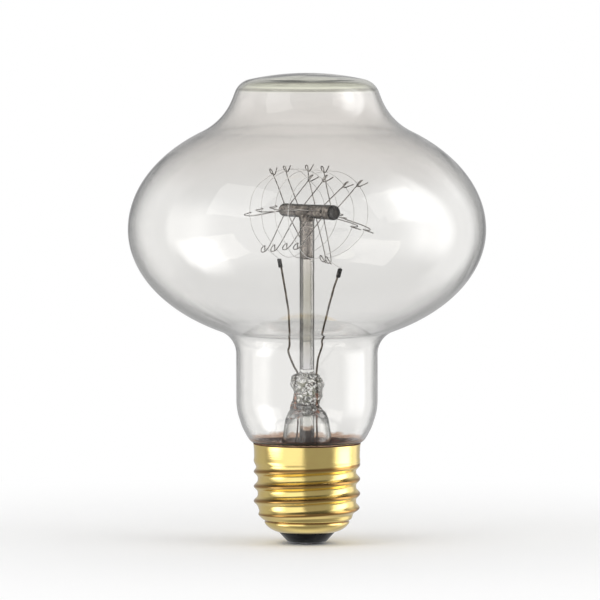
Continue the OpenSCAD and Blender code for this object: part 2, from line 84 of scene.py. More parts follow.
class SupportSettings(bpy.types.PropertyGroup):
    bar_height: FloatProperty(
        name="Bar height", description="Height of the tee's bar above the end contact",
        default=0.0818, unit="LENGTH", precision=4)
    bar_length: FloatProperty(
        name="Bar length", description="Length of the tee's bar", default=0.0234, unit="LENGTH", precision=4)
    bar_diameter: FloatProperty(
        name="Bar diameter", description="Diameter of the tee's bar",
        default=0.0033, unit="LENGTH", precision=4)
    bar_turn: FloatProperty(
        name="Bar turn", description="Direction of the bar from the X axis",
        default=math.radians(-57), unit="ROTATION")
    smoke: FloatVectorProperty(
        name="Smoke", description="Colour of the smoked glass", subtype="COLOR", default=(0.8, 0.71, 0.63))


class FilamentSettings(bpy.types.PropertyGroup):
    loops: IntProperty(name="Loops", description="Number of filament loops", default=4, min=3, max=4)
    pitch: FloatProperty(
        name="Loop pitch", description="Mean distance from one loop to the next",
        default=0.0061, unit="LENGTH", precision=4)
    diameter: FloatProperty(
        name="Filament diameter", description="Diameter of the filament",
        default=0.00017, unit="LENGTH", precision=5)
    anchor_diameter: FloatProperty(
        name="Anchor diameter", description="Diameter of an anchor wire",
        default=0.00027, unit="LENGTH", precision=5)
    lead_diameter: FloatProperty(
        name="Lead diameter", description="Diameter of a lead-in wire",
        default=0.0005, unit="LENGTH", precision=5)


class CapSettings(bpy.types.PropertyGroup):
    thread_diameter: FloatProperty(
        name="Thread diameter", description="Outside diameter over the thread's crests",
        default=0.0262, unit="LENGTH", precision=4)
    thread_pitch: FloatProperty(
        name="Thread pitch", description="Height of one turn of the thread",
        default=0.003629, unit="LENGTH", precision=6)
    brass: FloatVectorProperty(
        name="Brass", description="Colour of the polished brass", subtype="COLOR", default=(0.88, 0.7, 0.26))
    # The tarnish colour also paints shade along the crests and the lip's line.
    tarnish: FloatVectorProperty(
        name="Tarnish", description="Colour of the tarnish along the crests", subtype="COLOR",
        default=(0.36, 0.2, 0.06))
    cement: FloatVectorProperty(
        name="Cement", description="Colour of the basing cement", subtype="COLOR",
        default=(0.09, 0.045, 0.03))


# Curves and forms, in millimetres.


def mix(a, b, share):
    return a + (b - a) * share


def ease(value):
    x = min(1.0, max(0.0, value))
    return x * x * (3 - 2 * x)


def polar(radius, degrees):
    return Vector((radius * math.cos(math.radians(degrees)), radius * math.sin(math.radians(degrees))))


def upright(radius, degrees, z):
    return Vector((*polar(radius, degrees), z))


def arc(centre, radius, start, end, steps):
    return [Vector(centre) + polar(radius, mix(start, end, i / steps)) for i in range(steps + 1)]


def run_at(path, i):
    """The way a path runs at one of its points."""
    return (path[min(i + 1, len(path) - 1)] - path[max(i - 1, 0)]).normalized()


def smooth(points, steps):
    """A smooth curve through the points, with some steps between each pair."""
    points = [Vector(p) for p in points]
    count = len(points)
    curve = []
    for i in range(count - 1):
        a, b = points[max(i - 1, 0)], points[i]
        c, d = points[i + 1], points[min(i + 2, count - 1)]
        for k in range(steps):
            s = k / steps
            curve.append(0.5 * (2 * b + (c - a) * s + (2 * a - 5 * b + 4 * c - d) * s ** 2
                                + (3 * b - a - 3 * c + d) * s ** 3))
    return curve + [points[-1]]


def moved_aside(points, distance):
    """The flat path moved to its right."""
    return [p + distance * Vector((run_at(points, i).y, -run_at(points, i).x)) for i, p in enumerate(points)]


def rounded(corners, radius):
    """The closed flat outline with its corners rounded, but not those on the axis."""
    steps = 4
    outline = []
    for i in range(len(corners)):
        corner = Vector(corners[i])
        before = Vector(corners[i - 1]) - corner
        after = Vector(corners[(i + 1) % len(corners)]) - corner
        reach = min(radius, before.length * 0.45, after.length * 0.45)
        if corner.x < 1e-6 or reach < 1e-4:
            outline.append(corner)
            continue
        start, end = corner + before.normalized() * reach, corner + after.normalized() * reach
        for k in range(steps + 1):
            s = k / steps
            outline.append(start.lerp(corner, s).lerp(corner.lerp(end, s), s))
    return outline


def rings(outline, sides, shift=None):
    """Points of an outline turned round the axis, ring by ring. shift moves each point outward."""
    points = []
    for r, z in outline:
        for k in range(sides):
            angle = 360 * k / sides
            reach = r if shift is None or r < 1e-6 else r + shift(z, angle)
            points.append(upright(reach, angle, z))
    return points


def ring_faces(ring_count, sides, closed=False):
    faces = []
    for i in range(ring_count if closed else ring_count - 1):
        low, high = i * sides, (i + 1) % ring_count * sides
        for k in range(sides):
            n = (k + 1) % sides
            faces.append((low + k, low + n, high + n, high + k))
    return faces


def tube_faces(ring_count, sides):
    """Faces between the rings, with both ends closed."""
    last = ring_count * sides - 1
    return ring_faces(ring_count, sides) + [tuple(range(sides)), tuple(last - k for k in range(sides))]


def turned(outline, sides, shift=None):
    """Points and faces of a closed outline turned round the axis."""
    return rings(outline, sides, shift), ring_faces(len(outline), sides, closed=True)


def swept(path, radius, sides, up=(1, 0, 0)):
    """Points and faces of a round wire along a path."""
    path = [Vector(p) for p in path]
    points = []
    normal = Vector(up)
    for i, centre in enumerate(path):
        ahead = run_at(path, i)
        normal = (normal - normal.dot(ahead) * ahead).normalized()
        side = ahead.cross(normal)
        for k in range(sides):
            turn = polar(radius, 360 * k / sides)
            points.append(centre + turn.x * normal + turn.y * side)
    return points, tube_faces(len(path), sides)


def new_mesh(name, points, faces, sharp=None, **layers):
    """A smooth shaded mesh object from points in millimetres. layers are numbers kept for each point."""
    mesh = bpy.data.meshes.new(name)
    mesh.from_pydata([tuple(MM * c for c in p) for p in points], [], faces)
    for label, values in layers.items():
        mesh.attributes.new(label, "FLOAT", "POINT").data.foreach_set("value", values)
    work = bmesh.new()
    work.from_mesh(mesh)
    bmesh.ops.remove_doubles(work, verts=work.verts, dist=1e-7)
    bmesh.ops.recalc_face_normals(work, faces=work.faces)
    work.to_mesh(mesh)
    work.free()
    mesh.polygons.foreach_set("use_smooth", [True] * len(mesh.polygons))
    if sharp is not None:
        mesh.set_sharp_from_angle(angle=math.radians(sharp))
    piece = bpy.data.objects.new(name, mesh)
    bpy.context.scene.collection.objects.link(piece)
    return piece


def add_piece(name, form, finish, slot, *nodes, **extras):
    """A piece of the lamp from its points and faces, which stands for the named nodes."""
    piece = new_mesh(name, *form, **extras)
    piece.data.materials.append(finish_named(finish))
    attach(piece, "root")
    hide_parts(*nodes)
    return piece


# Shader nodes and shared effects.


class Nodes:
    """A node tree with short ways to add to it. A value is a number, a colour or the socket that feeds it."""

    def __init__(self, tree):
        self.tree = tree

    def feed(self, socket, value):
        if isinstance(value, bpy.types.NodeSocket):
            self.tree.links.new(value, socket)
        elif socket.type == "RGBA":
            socket.default_value = (*value[:3], 1)
        else:
            socket.default_value = value

    def add(self, kind, inputs=None, **settings):
        node = self.tree.nodes.new("ShaderNode" + kind)
        for key, value in settings.items():
            setattr(node, key, value)
        for key, value in (inputs or {}).items():
            self.feed(node.inputs[key], value)
        return node

    def place(self):
        return self.add("TexCoord").outputs["Object"]

    def height(self):
        return self.add("SeparateXYZ", {"Vector": self.place()}).outputs["Z"]

    def layer(self, name):
        """The numbers kept under that name for the points of the mesh."""
        return self.add("Attribute", attribute_name=name).outputs["Fac"]

    def maths(self, operation, *values, **settings):
        return self.add("Math", dict(enumerate(values)), operation=operation, **settings).outputs[0]

    def stretched(self, x, y, z):
        scales = self.add("CombineXYZ", {"X": x, "Y": y, "Z": z}).outputs[0]
        return self.add("VectorMath", {0: self.place(), 1: scales}, operation="MULTIPLY").outputs[0]

    def ramp(self, value, start, end, low=0.0, high=1.0, **settings):
        """A number that goes from low to high as the value goes from start to end."""
        limits = {"From Min": start, "From Max": end, "To Min": low, "To Max": high}
        return self.add("MapRange", {"Value": value, **limits}, **settings).outputs[0]

    def soft_ramp(self, value, start, end):
        return self.ramp(value, start, end, interpolation_type="SMOOTHSTEP")

    def blend(self, share, first, second):
        """A colour between two."""
        return self.add("Mix", {"Factor": share, "A": first, "B": second}, data_type="RGBA").outputs["Result"]

    def choose(self, share, first, second):
        """A shader between two."""
        return self.add("MixShader", {0: share, 1: first, 2: second}).outputs[0]

    def effect(self, name, **inputs):
        """Places a shared effect with its own values."""
        node = self.add("Group", node_tree=bpy.data.node_groups.get(name) or EFFECTS[name](name))
        for key, value in inputs.items():
            self.feed(node.inputs[key.replace("_", " ")], value)
        return node.outputs

    def rays(self):
        """Whether a ray came straight from the camera, through glass or not, and whether it was reflected."""
        path = self.add("LightPath").outputs
        bounces = self.maths("ADD", path["Glossy Depth"], path["Diffuse Depth"])
        seen = self.maths("MAXIMUM", path["Is Camera Ray"], path["Is Transmission Ray"])
        straight = self.maths("MULTIPLY", seen, self.maths("LESS_THAN", bounces, 0.5))
        return straight, self.maths("GREATER_THAN", path["Glossy Depth"], 0.5)


class Finish(Nodes):
    """A new material with one Principled shader and its plain values."""

    def __init__(self, name, **plain):
        self.material = bpy.data.materials.new(name)
        self.material.use_nodes = True
        super().__init__(self.material.node_tree)
        self.tree.nodes.clear()
        values = {key.replace("_", " "): value for key, value in plain.items()}
        self.shader = self.add("BsdfPrincipled", values)
        self.output = self.add("OutputMaterial", {"Surface": self.shader.outputs["BSDF"]})

    def paint(self, colour):
        self.feed(self.shader.inputs["Base Color"], colour)

    def roughen(self, mask, low, high):
        self.feed(self.shader.inputs["Roughness"], self.ramp(mask, 0, 1, low, high))

    def bump(self, height, distance):
        node = self.add("Bump", {"Height": height, "Distance": distance, "Strength": 1.0})
        self.feed(self.shader.inputs["Normal"], node.outputs["Normal"])

    def waves(self, scale, stretch, distance):
        self.bump(self.effect("glass_waves", Scale=scale, Upright_stretch=stretch)["Height"], distance)

    def edge_shaded(self, colour, edge, start, end):
        """Painted shade: a glass colour that turns to the edge's where the surface is seen at a grazing
        angle.
        """
        facing = self.add("LayerWeight", {"Blend": 0.5}).outputs["Facing"]
        return self.blend(self.soft_ramp(facing, start, end), colour, edge)

    def lamps_pass(self, tint):
        """Lets lamps shine through the glass, so that what is inside is lit."""
        ray = self.add("LightPath").outputs["Is Shadow Ray"]
        clear = self.add("BsdfTransparent", {"Color": tint}).outputs["BSDF"]
        self.feed(self.output.inputs["Surface"], self.choose(ray, self.shader.outputs["BSDF"], clear))


def new_effect(name, inputs, outputs):
    """A node group with named sockets, and what comes in and goes out."""
    group = Nodes(bpy.data.node_groups.new(name, "ShaderNodeTree"))
    for label, kind, value in inputs:
        socket = group.tree.interface.new_socket(label, in_out="INPUT", socket_type="NodeSocket" + kind)
        socket.default_value = value
    for label, kind in outputs:
        group.tree.interface.new_socket(label, in_out="OUTPUT", socket_type="NodeSocket" + kind)
    source = group.tree.nodes.new("NodeGroupInput").outputs
    result = group.tree.nodes.new("NodeGroupOutput").inputs
    return group, source, result


def mottle_effect(name):
    """Cloudy change between two colours, as of tarnish, smoke or damp."""
    group, source, result = new_effect(
        name,
        [("Scale", "Float", 300.0), ("Contrast", "Float", 3.0), ("First", "Color", (1, 1, 1, 1)),
         ("Second", "Color", (0, 0, 0, 1))],
        [("Color", "Color"), ("Mask", "Float")])
    cloud = group.add("TexNoise", {"Vector": group.place(), "Scale": source["Scale"], "Detail": 6.0,
                                   "Roughness": 0.6})
    centred = group.maths("SUBTRACT", cloud.outputs["Fac"], 0.5)
    mask = group.maths("MULTIPLY_ADD", centred, source["Contrast"], 0.5, use_clamp=True)
    group.feed(result["Color"], group.blend(mask, source["First"], source["Second"]))
    group.feed(result["Mask"], mask)
    return group.tree


def grain_effect(name):
    """Fine roughness of a surface with small pits, as a height for bumps."""
    group, source, result = new_effect(
        name, [("Scale", "Float", 2000.0), ("Pits", "Float", 0.5)], [("Height", "Float")])
    place = group.place()
    fine = group.add("TexNoise", {"Vector": place, "Scale": source["Scale"], "Detail": 4.0})
    cells = group.add("TexVoronoi", {"Vector": place, "Scale": source["Scale"]})
    pits = group.ramp(cells.outputs["Distance"], 0.1, 0.45, 1.0, 0.0)
    depth = group.maths("MULTIPLY", pits, source["Pits"])
    group.feed(result["Height"], group.maths("SUBTRACT", fine.outputs["Fac"], depth))
    return group.tree


def glass_wave_effect(name):
    """The slow waves that hand working leaves in glass."""
    group, source, result = new_effect(
        name, [("Scale", "Float", 60.0), ("Upright stretch", "Float", 0.5)], [("Height", "Float")])
    slow = group.add("TexNoise", {"Vector": group.stretched(1.0, 1.0, source["Upright stretch"]),
                                  "Scale": source["Scale"], "Detail": 2.0, "Distortion": 0.6})
    group.feed(result["Height"], slow.outputs["Fac"])
    return group.tree


def turning_marks_effect(name):
    """Fine lines round the axis, as of rolling, spinning or drawing."""
    group, source, result = new_effect(
        name, [("Across", "Float", 5000.0), ("Along", "Float", 60.0)],
        [("Height", "Float"), ("Mask", "Float")])
    place = group.stretched(source["Along"], source["Along"], source["Across"])
    fine = group.add("TexNoise", {"Vector": place, "Scale": 1.0, "Detail": 3.0, "Roughness": 0.7})
    lines = fine.outputs["Fac"]
    group.feed(result["Height"], lines)
    group.feed(result["Mask"], group.ramp(lines, 0.35, 0.65))
    return group.tree


EFFECTS = {"mottle": mottle_effect, "grain": grain_effect, "glass_waves": glass_wave_effect,
           "turning_marks": turning_marks_effect}


# The finishes. A pair of heights, in metres above the end contact, is where a change starts and ends.

GLASS = {"Transmission_Weight": 1.0, "Roughness": 0.0, "IOR": 1.5, "Metallic": 0.0}
STAIN_Z, SHADE_BAND_RISE_Z, SHADE_BAND_FALL_Z = (0.0266, 0.0262), (0.086, 0.098), (0.103, 0.111)
DOME_LIGHT_Z, DOME_EDGE_SHADE_Z = (0.1108, 0.1122), (0.1122, 0.1135)
PRESSED_Z, DULL_Z, BROWNED_Z, ROD_FOOT_Z = (0.031, 0.034), (0.043, 0.053), (0.064, 0.072), (0.0707, 0.0703)
# A thin painted dark line, painted shade standing in for the refraction where the crown's wall bends into the
# dome.
BEND_SHADE_Z = 0.1117


def bulb_finish(name):
    """Thin blown glass: painted warm shade up top, a painted pale dome and dark bend line, painted grey
    edges, a stained foot.
    """
    tint = tuple(bpy.context.scene.lamp_bulb.tint)
    finish = Finish(name, **GLASS)
    height = finish.height()
    cloud = finish.effect("mottle", Scale=45.0, Contrast=1.5)["Mask"]
    # Painted shade: a warm darker band in the upper body, standing in for the darker room it reflects.
    fall = finish.ramp(height, *SHADE_BAND_FALL_Z, 1.0, 0.7)
    shade_band = finish.maths("MULTIPLY", finish.ramp(height, *SHADE_BAND_RISE_Z), fall)
    shade_band = finish.maths("MULTIPLY", shade_band, finish.ramp(cloud, 0, 1, 0.6, 1.0))
    colour = finish.blend(shade_band, tint, [c * share for c, share in zip(tint, (0.955, 0.935, 0.92))])
    # Painted light: the dome is painted paler and creamier than the walls.
    colour = finish.blend(finish.ramp(height, *DOME_LIGHT_Z), colour, (0.96, 0.96, 0.88))
    # Painted shade: a thin dark line round the crown's bend.
    apart = finish.maths("ABSOLUTE", finish.maths("SUBTRACT", height, BEND_SHADE_Z))
    colour = finish.blend(finish.ramp(apart, 0.0003, 0.0001), colour, (0.5, 0.49, 0.46))
    # Painted shade on the grazing edges: grey on the walls, pale on the dome.
    edge = finish.blend(finish.ramp(height, *DOME_EDGE_SHADE_Z), (0.24, 0.24, 0.232), (0.8, 0.79, 0.7))
    colour = finish.edge_shaded(colour, edge, 0.6, 0.95)
    lumps = finish.effect("mottle", Scale=420.0, Contrast=2.0)["Mask"]
    ragged = finish.maths("MULTIPLY_ADD", lumps, 0.0008, height)
    clay = finish.blend(lumps, (0.64, 0.45, 0.34), (0.42, 0.27, 0.19))
    finish.paint(finish.blend(finish.ramp(ragged, *STAIN_Z), colour, clay))
    finish.waves(45.0, 0.5, 0.00025)
    finish.lamps_pass(tint)
    return finish.material


def stem_finish(name):
    """Thick worked glass: clear, with painted olive shade along its creases and painted dark shade on its
    grazing edges.
    """
    finish = Finish(name, **GLASS)
    # Painted shade: dark olive lines along the press's creases.
    colour = finish.blend(finish.ramp(finish.layer("fold"), 0.12, 0.6), (1.0, 1.0, 0.99), (0.1, 0.1, 0.06))
    finish.paint(finish.edge_shaded(colour, (0.03, 0.03, 0.02), 0.3, 0.85))
    pressed = finish.ramp(finish.height(), *PRESSED_Z)
    waves = finish.effect("glass_waves", Scale=600.0, Upright_stretch=1.0)["Height"]
    finish.bump(finish.maths("MULTIPLY", waves, pressed), 0.00012)
    finish.lamps_pass((0.95, 0.95, 0.94))
    return finish.material


def arbor_finish(name):
    """Glass tube, clear at its foot and duller above, that heat has browned towards its top, with painted
    shade on its grazing edges.
    """
    finish = Finish(name, **GLASS)
    height = finish.height()
    cloud = finish.effect("mottle", Scale=700.0, Contrast=2.5, First=(1.0, 0.98, 0.96),
                          Second=(0.92, 0.89, 0.86))
    dull = finish.blend(finish.ramp(height, *DULL_Z), (0.95, 0.945, 0.96), (0.83, 0.815, 0.765))
    colour = finish.blend(finish.ramp(height, *BROWNED_Z), dull, cloud["Color"])
    # Painted shade: dark grazing edges.
    finish.paint(finish.edge_shaded(colour, (0.03, 0.028, 0.025), 0.04, 0.6))
    finish.waves(300.0, 0.2, 0.0001)
    finish.lamps_pass((1.0, 0.99, 0.98))
    return finish.material


def browned_finish(name):
    """Glass that the filament's heat has browned and speckled, darkest at its lower end."""
    finish = Finish(name, **GLASS)
    cloud = finish.effect("mottle", Scale=1100.0, Contrast=4.0, First=(0.9, 0.84, 0.79),
                          Second=(0.55, 0.49, 0.44))
    low = finish.ramp(finish.height(), *ROD_FOOT_Z)
    finish.paint(finish.blend(low, cloud["Color"], (0.1, 0.08, 0.07)))
    finish.waves(500.0, 0.5, 0.0001)
    finish.lamps_pass((0.9, 0.88, 0.86))
    return finish.material


def smoked_finish(name):
    """Smoked glass with dark speckles, painted shade on its grazing edges and its cut end, and soot round the
    anchors.
    """
    finish = Finish(name, Transmission_Weight=0.2, IOR=1.5, Metallic=0.0, Specular_IOR_Level=0.3)
    cloud = finish.effect("mottle", Scale=900.0, Contrast=4.5, First=bpy.context.scene.lamp_support.smoke,
                          Second=(0.08, 0.066, 0.052))
    glass = finish.edge_shaded(cloud["Color"], (0.02, 0.018, 0.016), 0.28, 0.8)
    # This layer holds soot round the anchors and painted shade on the cut end.
    finish.paint(finish.blend(finish.layer("soot"), glass, (0.008, 0.007, 0.007)))
    finish.roughen(cloud["Mask"], 0.1, 0.3)
    finish.waves(500.0, 1.0, 0.0001)
    return finish.material


# Each wire's and solder's colour, the colour of its dull patches, its least roughness and how metallic it is.
WIRES = {"nickel_wire": ((0.44, 0.425, 0.405), (0.22, 0.2, 0.185), 0.35, 1.0),
         "oxidised_lead": ((0.2, 0.165, 0.13), (0.05, 0.04, 0.03), 0.3, 1.0),
         "sooted_clamp": ((0.06, 0.055, 0.05), (0.015, 0.014, 0.013), 0.35, 1.0),
         "oxidised_copper": ((0.16, 0.08, 0.05), (0.05, 0.03, 0.025), 0.4, 1.0),
         "copper_wire": ((0.9, 0.52, 0.38), (0.5, 0.2, 0.12), 0.3, 1.0),
         "carbon_thread": ((0.85, 0.84, 0.83), (0.72, 0.71, 0.7), 0.5, 0.0),
         # Painted shade: the solder is coloured far darker than tin and lead.
         "dark_shaded_solder": ((0.14, 0.14, 0.15), (0.05, 0.05, 0.055), 0.35, 1.0)}


def wire_finish(name):
    """Drawn wire or solder with dull patches and fine marks."""
    colour, dulled, roughness, metallic = WIRES[name]
    finish = Finish(name, Metallic=metallic)
    patches = finish.effect("mottle", Scale=900.0, Contrast=4.0, First=colour, Second=dulled)
    finish.paint(patches["Color"])
    finish.roughen(patches["Mask"], roughness, roughness + 0.25)
    finish.bump(finish.effect("grain", Scale=9000.0, Pits=0.4)["Height"], 0.00002)
    return finish.material


def brass_finish(name):
    """Polished brass with cloudy tarnish, tarnish and painted shade along the crests, and marks of the
    rollers.
    """
    cap = bpy.context.scene.lamp_cap
    finish = Finish(name, Metallic=1.0)
    cloudy = finish.effect("mottle", Scale=160.0, Contrast=2.2, First=cap.brass, Second=(0.84, 0.63, 0.24))
    # Tarnish and painted shade along the crests and the lip's line.
    finish.paint(finish.blend(finish.ramp(finish.layer("flank"), 0.35, 0.95), cloudy["Color"], cap.tarnish))
    marks = finish.effect("turning_marks", Across=6000.0, Along=50.0)
    smears = finish.effect("mottle", Scale=220.0, Contrast=3.0, First=(0, 0, 0), Second=(1, 1, 1))["Mask"]
    finish.roughen(finish.maths("MULTIPLY_ADD", marks["Mask"], 0.4, smears), 0.07, 0.19)
    finish.bump(marks["Height"], 0.000015)
    return finish.material


def cement_finish(name):
    """Matt brown cement with pale and dark lumps."""
    finish = Finish(name, Roughness=0.75, Specular_IOR_Level=0.15)
    clay = finish.effect("mottle", Scale=420.0, Contrast=5.0, First=bpy.context.scene.lamp_cap.cement,
                         Second=(0.26, 0.13, 0.09))
    finish.paint(clay["Color"])
    finish.bump(finish.effect("grain", Scale=2500.0, Pits=0.8)["Height"], 0.00015)
    return finish.material


def black_glass_finish(name):
    """Glossy moulded glass, nearly black."""
    finish = Finish(name, Specular_IOR_Level=0.18)
    tone = finish.effect("mottle", Scale=350.0, Contrast=3.0, First=(0.003, 0.003, 0.004),
                         Second=(0.008, 0.008, 0.01))
    finish.paint(tone["Color"])
    finish.roughen(tone["Mask"], 0.04, 0.09)
    finish.waves(300.0, 1.0, 0.0002)
    return finish.material


def floor_finish(name):
    """Pale floor that shows shadows near the lamp and runs into the white behind it."""
    finish = Finish(name, Roughness=0.9, Specular_IOR_Level=0.0)
    tone = finish.effect("mottle", Scale=20.0, Contrast=1.0, First=(0.97, 0.97, 0.97),
                         Second=(0.95, 0.95, 0.95))
    finish.paint(tone["Color"])
    reach = finish.add("VectorMath", {0: finish.place()}, operation="LENGTH").outputs["Value"]
    white = finish.add("Emission", {"Color": (1, 1, 1), "Strength": 1.0}).outputs[0]
    clear = finish.add("BsdfTransparent").outputs[0]
    straight, reflected = finish.rays()
    share = finish.maths("MULTIPLY", finish.soft_ramp(reach, 0.05, 0.2), straight)
    seen = finish.choose(share, finish.shader.outputs[0], white)
    finish.feed(finish.output.inputs["Surface"], finish.choose(reflected, seen, clear))
    return finish.material


FINISHES = {"bulb_glass": bulb_finish, "stem_glass": stem_finish, "arbor_glass": arbor_finish,
            "browned_glass": browned_finish, "smoked_glass": smoked_finish, "rolled_brass": brass_finish,
            "basing_cement": cement_finish, "insulator_glass": black_glass_finish, "pale_floor": floor_finish,
            **dict.fromkeys(WIRES, wire_finish)}


def finish_named(name):
    """The finish of that name, made once."""
    return bpy.data.materials.get(name) or FINISHES[name](name)


# The bulb.

BODY_Z, BODY_RISE, BODY_DROP = 77.2, 29.7, 28.5
NECK_FILLET_R = 6.0
# The neck's side above its foot is an arc of this radius and middle height.
NECK_SIDE_R, NECK_SIDE_Z = 16, 35.5
# The neck's foot, from the seal inside the cap to the bend above the rim.
NECK_FOOT = [(11, 16.5), (11, 19.5), (11.3, 21.6), (11.9, 23.4), (12.75, 24.6), (13.8, 25.2), (14.55, 26.1),
             (15.35, 27.5)]
# The crown: how far out its root starts as a share of the body, the hollow's radius, the wall's lean, the
# shoulder's radius and the dome's slope at its edge.
CROWN_ROOT, CROWN_ROOT_R, CROWN_LEAN, CROWN_SHOULDER_R, DOME_SLOPE = 0.585, 15.0, 21.0, 5.0, 12.5


def back_angle(out):
    """The direction opposite to a flat vector, in degrees."""
    return math.degrees(math.atan2(-out.y, -out.x))


def bulb_outline():
    """The outside of the bulb from the seal in the cap to the top of the crown."""
    bulb = bpy.context.scene.lamp_bulb
    body_r, neck_r = bulb.body_diameter / 2 / MM, bulb.neck_diameter / 2 / MM

    def half_height(degrees):
        return BODY_RISE if degrees > 0 else BODY_DROP

    def body_point(degrees):
        a = math.radians(degrees)
        return Vector((body_r * math.cos(a), BODY_Z + half_height(degrees) * math.sin(a)))

    def body_out(degrees):
        a = math.radians(degrees)
        return Vector((math.cos(a) / body_r, math.sin(a) / half_height(degrees))).normalized()

    low, high = -89.0, -20.0
    for _ in range(40):
        middle = (low + high) / 2
        if (body_point(middle) + NECK_FILLET_R * body_out(middle)).x < neck_r + NECK_FILLET_R:
            low = middle
        else:
            high = middle
    out = body_out(low)
    side_c = Vector((neck_r - NECK_SIDE_R, NECK_SIDE_Z))
    neck = smooth([(11, 13.5), *NECK_FOOT, (16.1, 29.1), side_c + polar(NECK_SIDE_R, -14)], 6)
    neck += arc(side_c, NECK_SIDE_R, -14, 0, 10)[1:]
    fillet = arc(body_point(low) + NECK_FILLET_R * out, NECK_FILLET_R, 180, back_angle(out), 22)
    root = math.degrees(math.acos(CROWN_ROOT))
    body = [body_point(mix(low, root, i / 100)) for i in range(1, 100)]
    return neck + fillet + body + crown_outline(body_point(root), body_out(root))


def crown_outline(root, out):
    """A hollow root, a leaning wall, a rounded shoulder and a low dome."""
    length = bpy.context.scene.lamp_bulb.overall_length / MM
    lean = math.radians(CROWN_LEAN)
    root_c = root + CROWN_ROOT_R * out
    foot = root_c - polar(CROWN_ROOT_R, CROWN_LEAN)
    half = math.tan(math.radians(DOME_SLOPE / 2))
    head = foot + CROWN_SHOULDER_R * (polar(1, 90 - DOME_SLOPE) - polar(1, CROWN_LEAN))
    wall = (length - head.y - head.x * half) / (math.cos(lean) - math.sin(lean) * half)
    wall_head = foot + wall * Vector((-math.sin(lean), math.cos(lean)))
    shoulder_c = wall_head - polar(CROWN_SHOULDER_R, CROWN_LEAN)
    dome_foot = shoulder_c + polar(CROWN_SHOULDER_R, 90 - DOME_SLOPE)
    dome_r = dome_foot.x / math.sin(math.radians(DOME_SLOPE))
    hollow = arc(root_c, CROWN_ROOT_R, back_angle(out), CROWN_LEAN - 180, 18)
    shoulder = arc(shoulder_c, CROWN_SHOULDER_R, CROWN_LEAN, 90 - DOME_SLOPE, 18)
    dome = []
    for i in range(1, 13):
        bend = math.radians(DOME_SLOPE * (1 - i / 12))
        r = dome_r * math.sin(bend) if i < 12 else 0
        dome.append(Vector((r, length - dome_r * (1 - math.cos(bend)))))
    return hollow + shoulder + dome


def blown(z, degrees):
    """How far blown glass wanders from a true circle, always inward."""
    return -0.05 * (1 + noise.noise(Vector((*polar(1.4, degrees), z / 28))))


class LAMP_OT_bulb(bpy.types.Operator):
    """Builds the blown bulb with its crown, body and neck as one piece of glass"""

    bl_idname = "lamp.bulb"
    bl_label = "Build the bulb"

    def execute(self, context):
        outside = bulb_outline()
        wall = context.scene.lamp_bulb.wall / MM
        inside = [Vector((max(0, p.x), p.y)) for p in moved_aside(outside, -wall)]
        add_piece("bulb_glass", turned(outside + inside[::-1], 192, blown), "bulb_glass", "clear_glass",
                  "envelope_crown", "envelope_body", "envelope_neck")
        return {"FINISHED"}


# The stem.

PRESS_TURN = -30
PRESS_LEAD_R = 2.7
FLARE_WALL = 0.7
# The exhaust tube and the arbor are the same tubing. The arbor ends this far below the bar's middle.
TUBE_R, TUBE_BORE_R, ARBOR_HEAD_DROP = 1.8, 1.2, 1.3
# The stretch of the stem that is lumpy from the press.
LUMPS_FOOT_Z, LUMPS_HEAD_Z = 32.0, 42.4
# The flare from its rim up: height and radius.
FLARE = [(13.5, 10.25), (14.5, 8.8), (17.4, 7.5), (21.4, 6.7), (25, 6.1), (27.8, 5.75), (30.3, 5.35),
         (32.4, 4.6)]
# The press above it: height, half width and half thickness.
PRESS = [(32.4, 4.6, 4.6), (33.2, 4.3, 3.7), (34.4, 3.7, 2.5), (36.6, 4.05, 2.3), (39.4, 4.5, 2.7),
         (40.9, 4.1, 2.6), (41.6, 3.3, 2.3), (41.85, 2.3, 2.1), (42.2, 1.82, 1.82), (43, 1.8, 1.8)]
# Air bubbles caught in the press: the middle and the three half sizes of each.
PRESS_BUBBLES = [((1.2, -0.9, 39.9), (1.15, 0.8, 1.0)), ((-1.4, -0.2, 37.2), (1.5, 0.6, 0.55)),
                 ((-1.1, 0.1, 34.4), (0.8, 0.5, 0.6)), ((0.3, 0.6, 37.9), (1.4, 0.5, 0.7)),
                 ((2.5, -1.2, 38.4), (0.35, 0.3, 0.9)), ((-0.2, -0.4, 35.7), (1.6, 0.4, 0.35)),
                 ((-2.9, 1.6, 39.2), (0.6, 0.4, 0.9)), ((1.6, -0.7, 34.2), (0.6, 0.4, 0.5))]


def crease(spot):
    """Narrow lines where two lumps of the squeezed glass meet."""
    broad = max(0, 1 - 2.4 * abs(noise.noise(spot * 0.55 + Vector((7, 3, 1))))) ** 5
    fine = max(0, 1 - 2.4 * abs(noise.noise(spot * 1.05 + Vector((2, 9, 4))))) ** 5
    return broad + 0.6 * fine


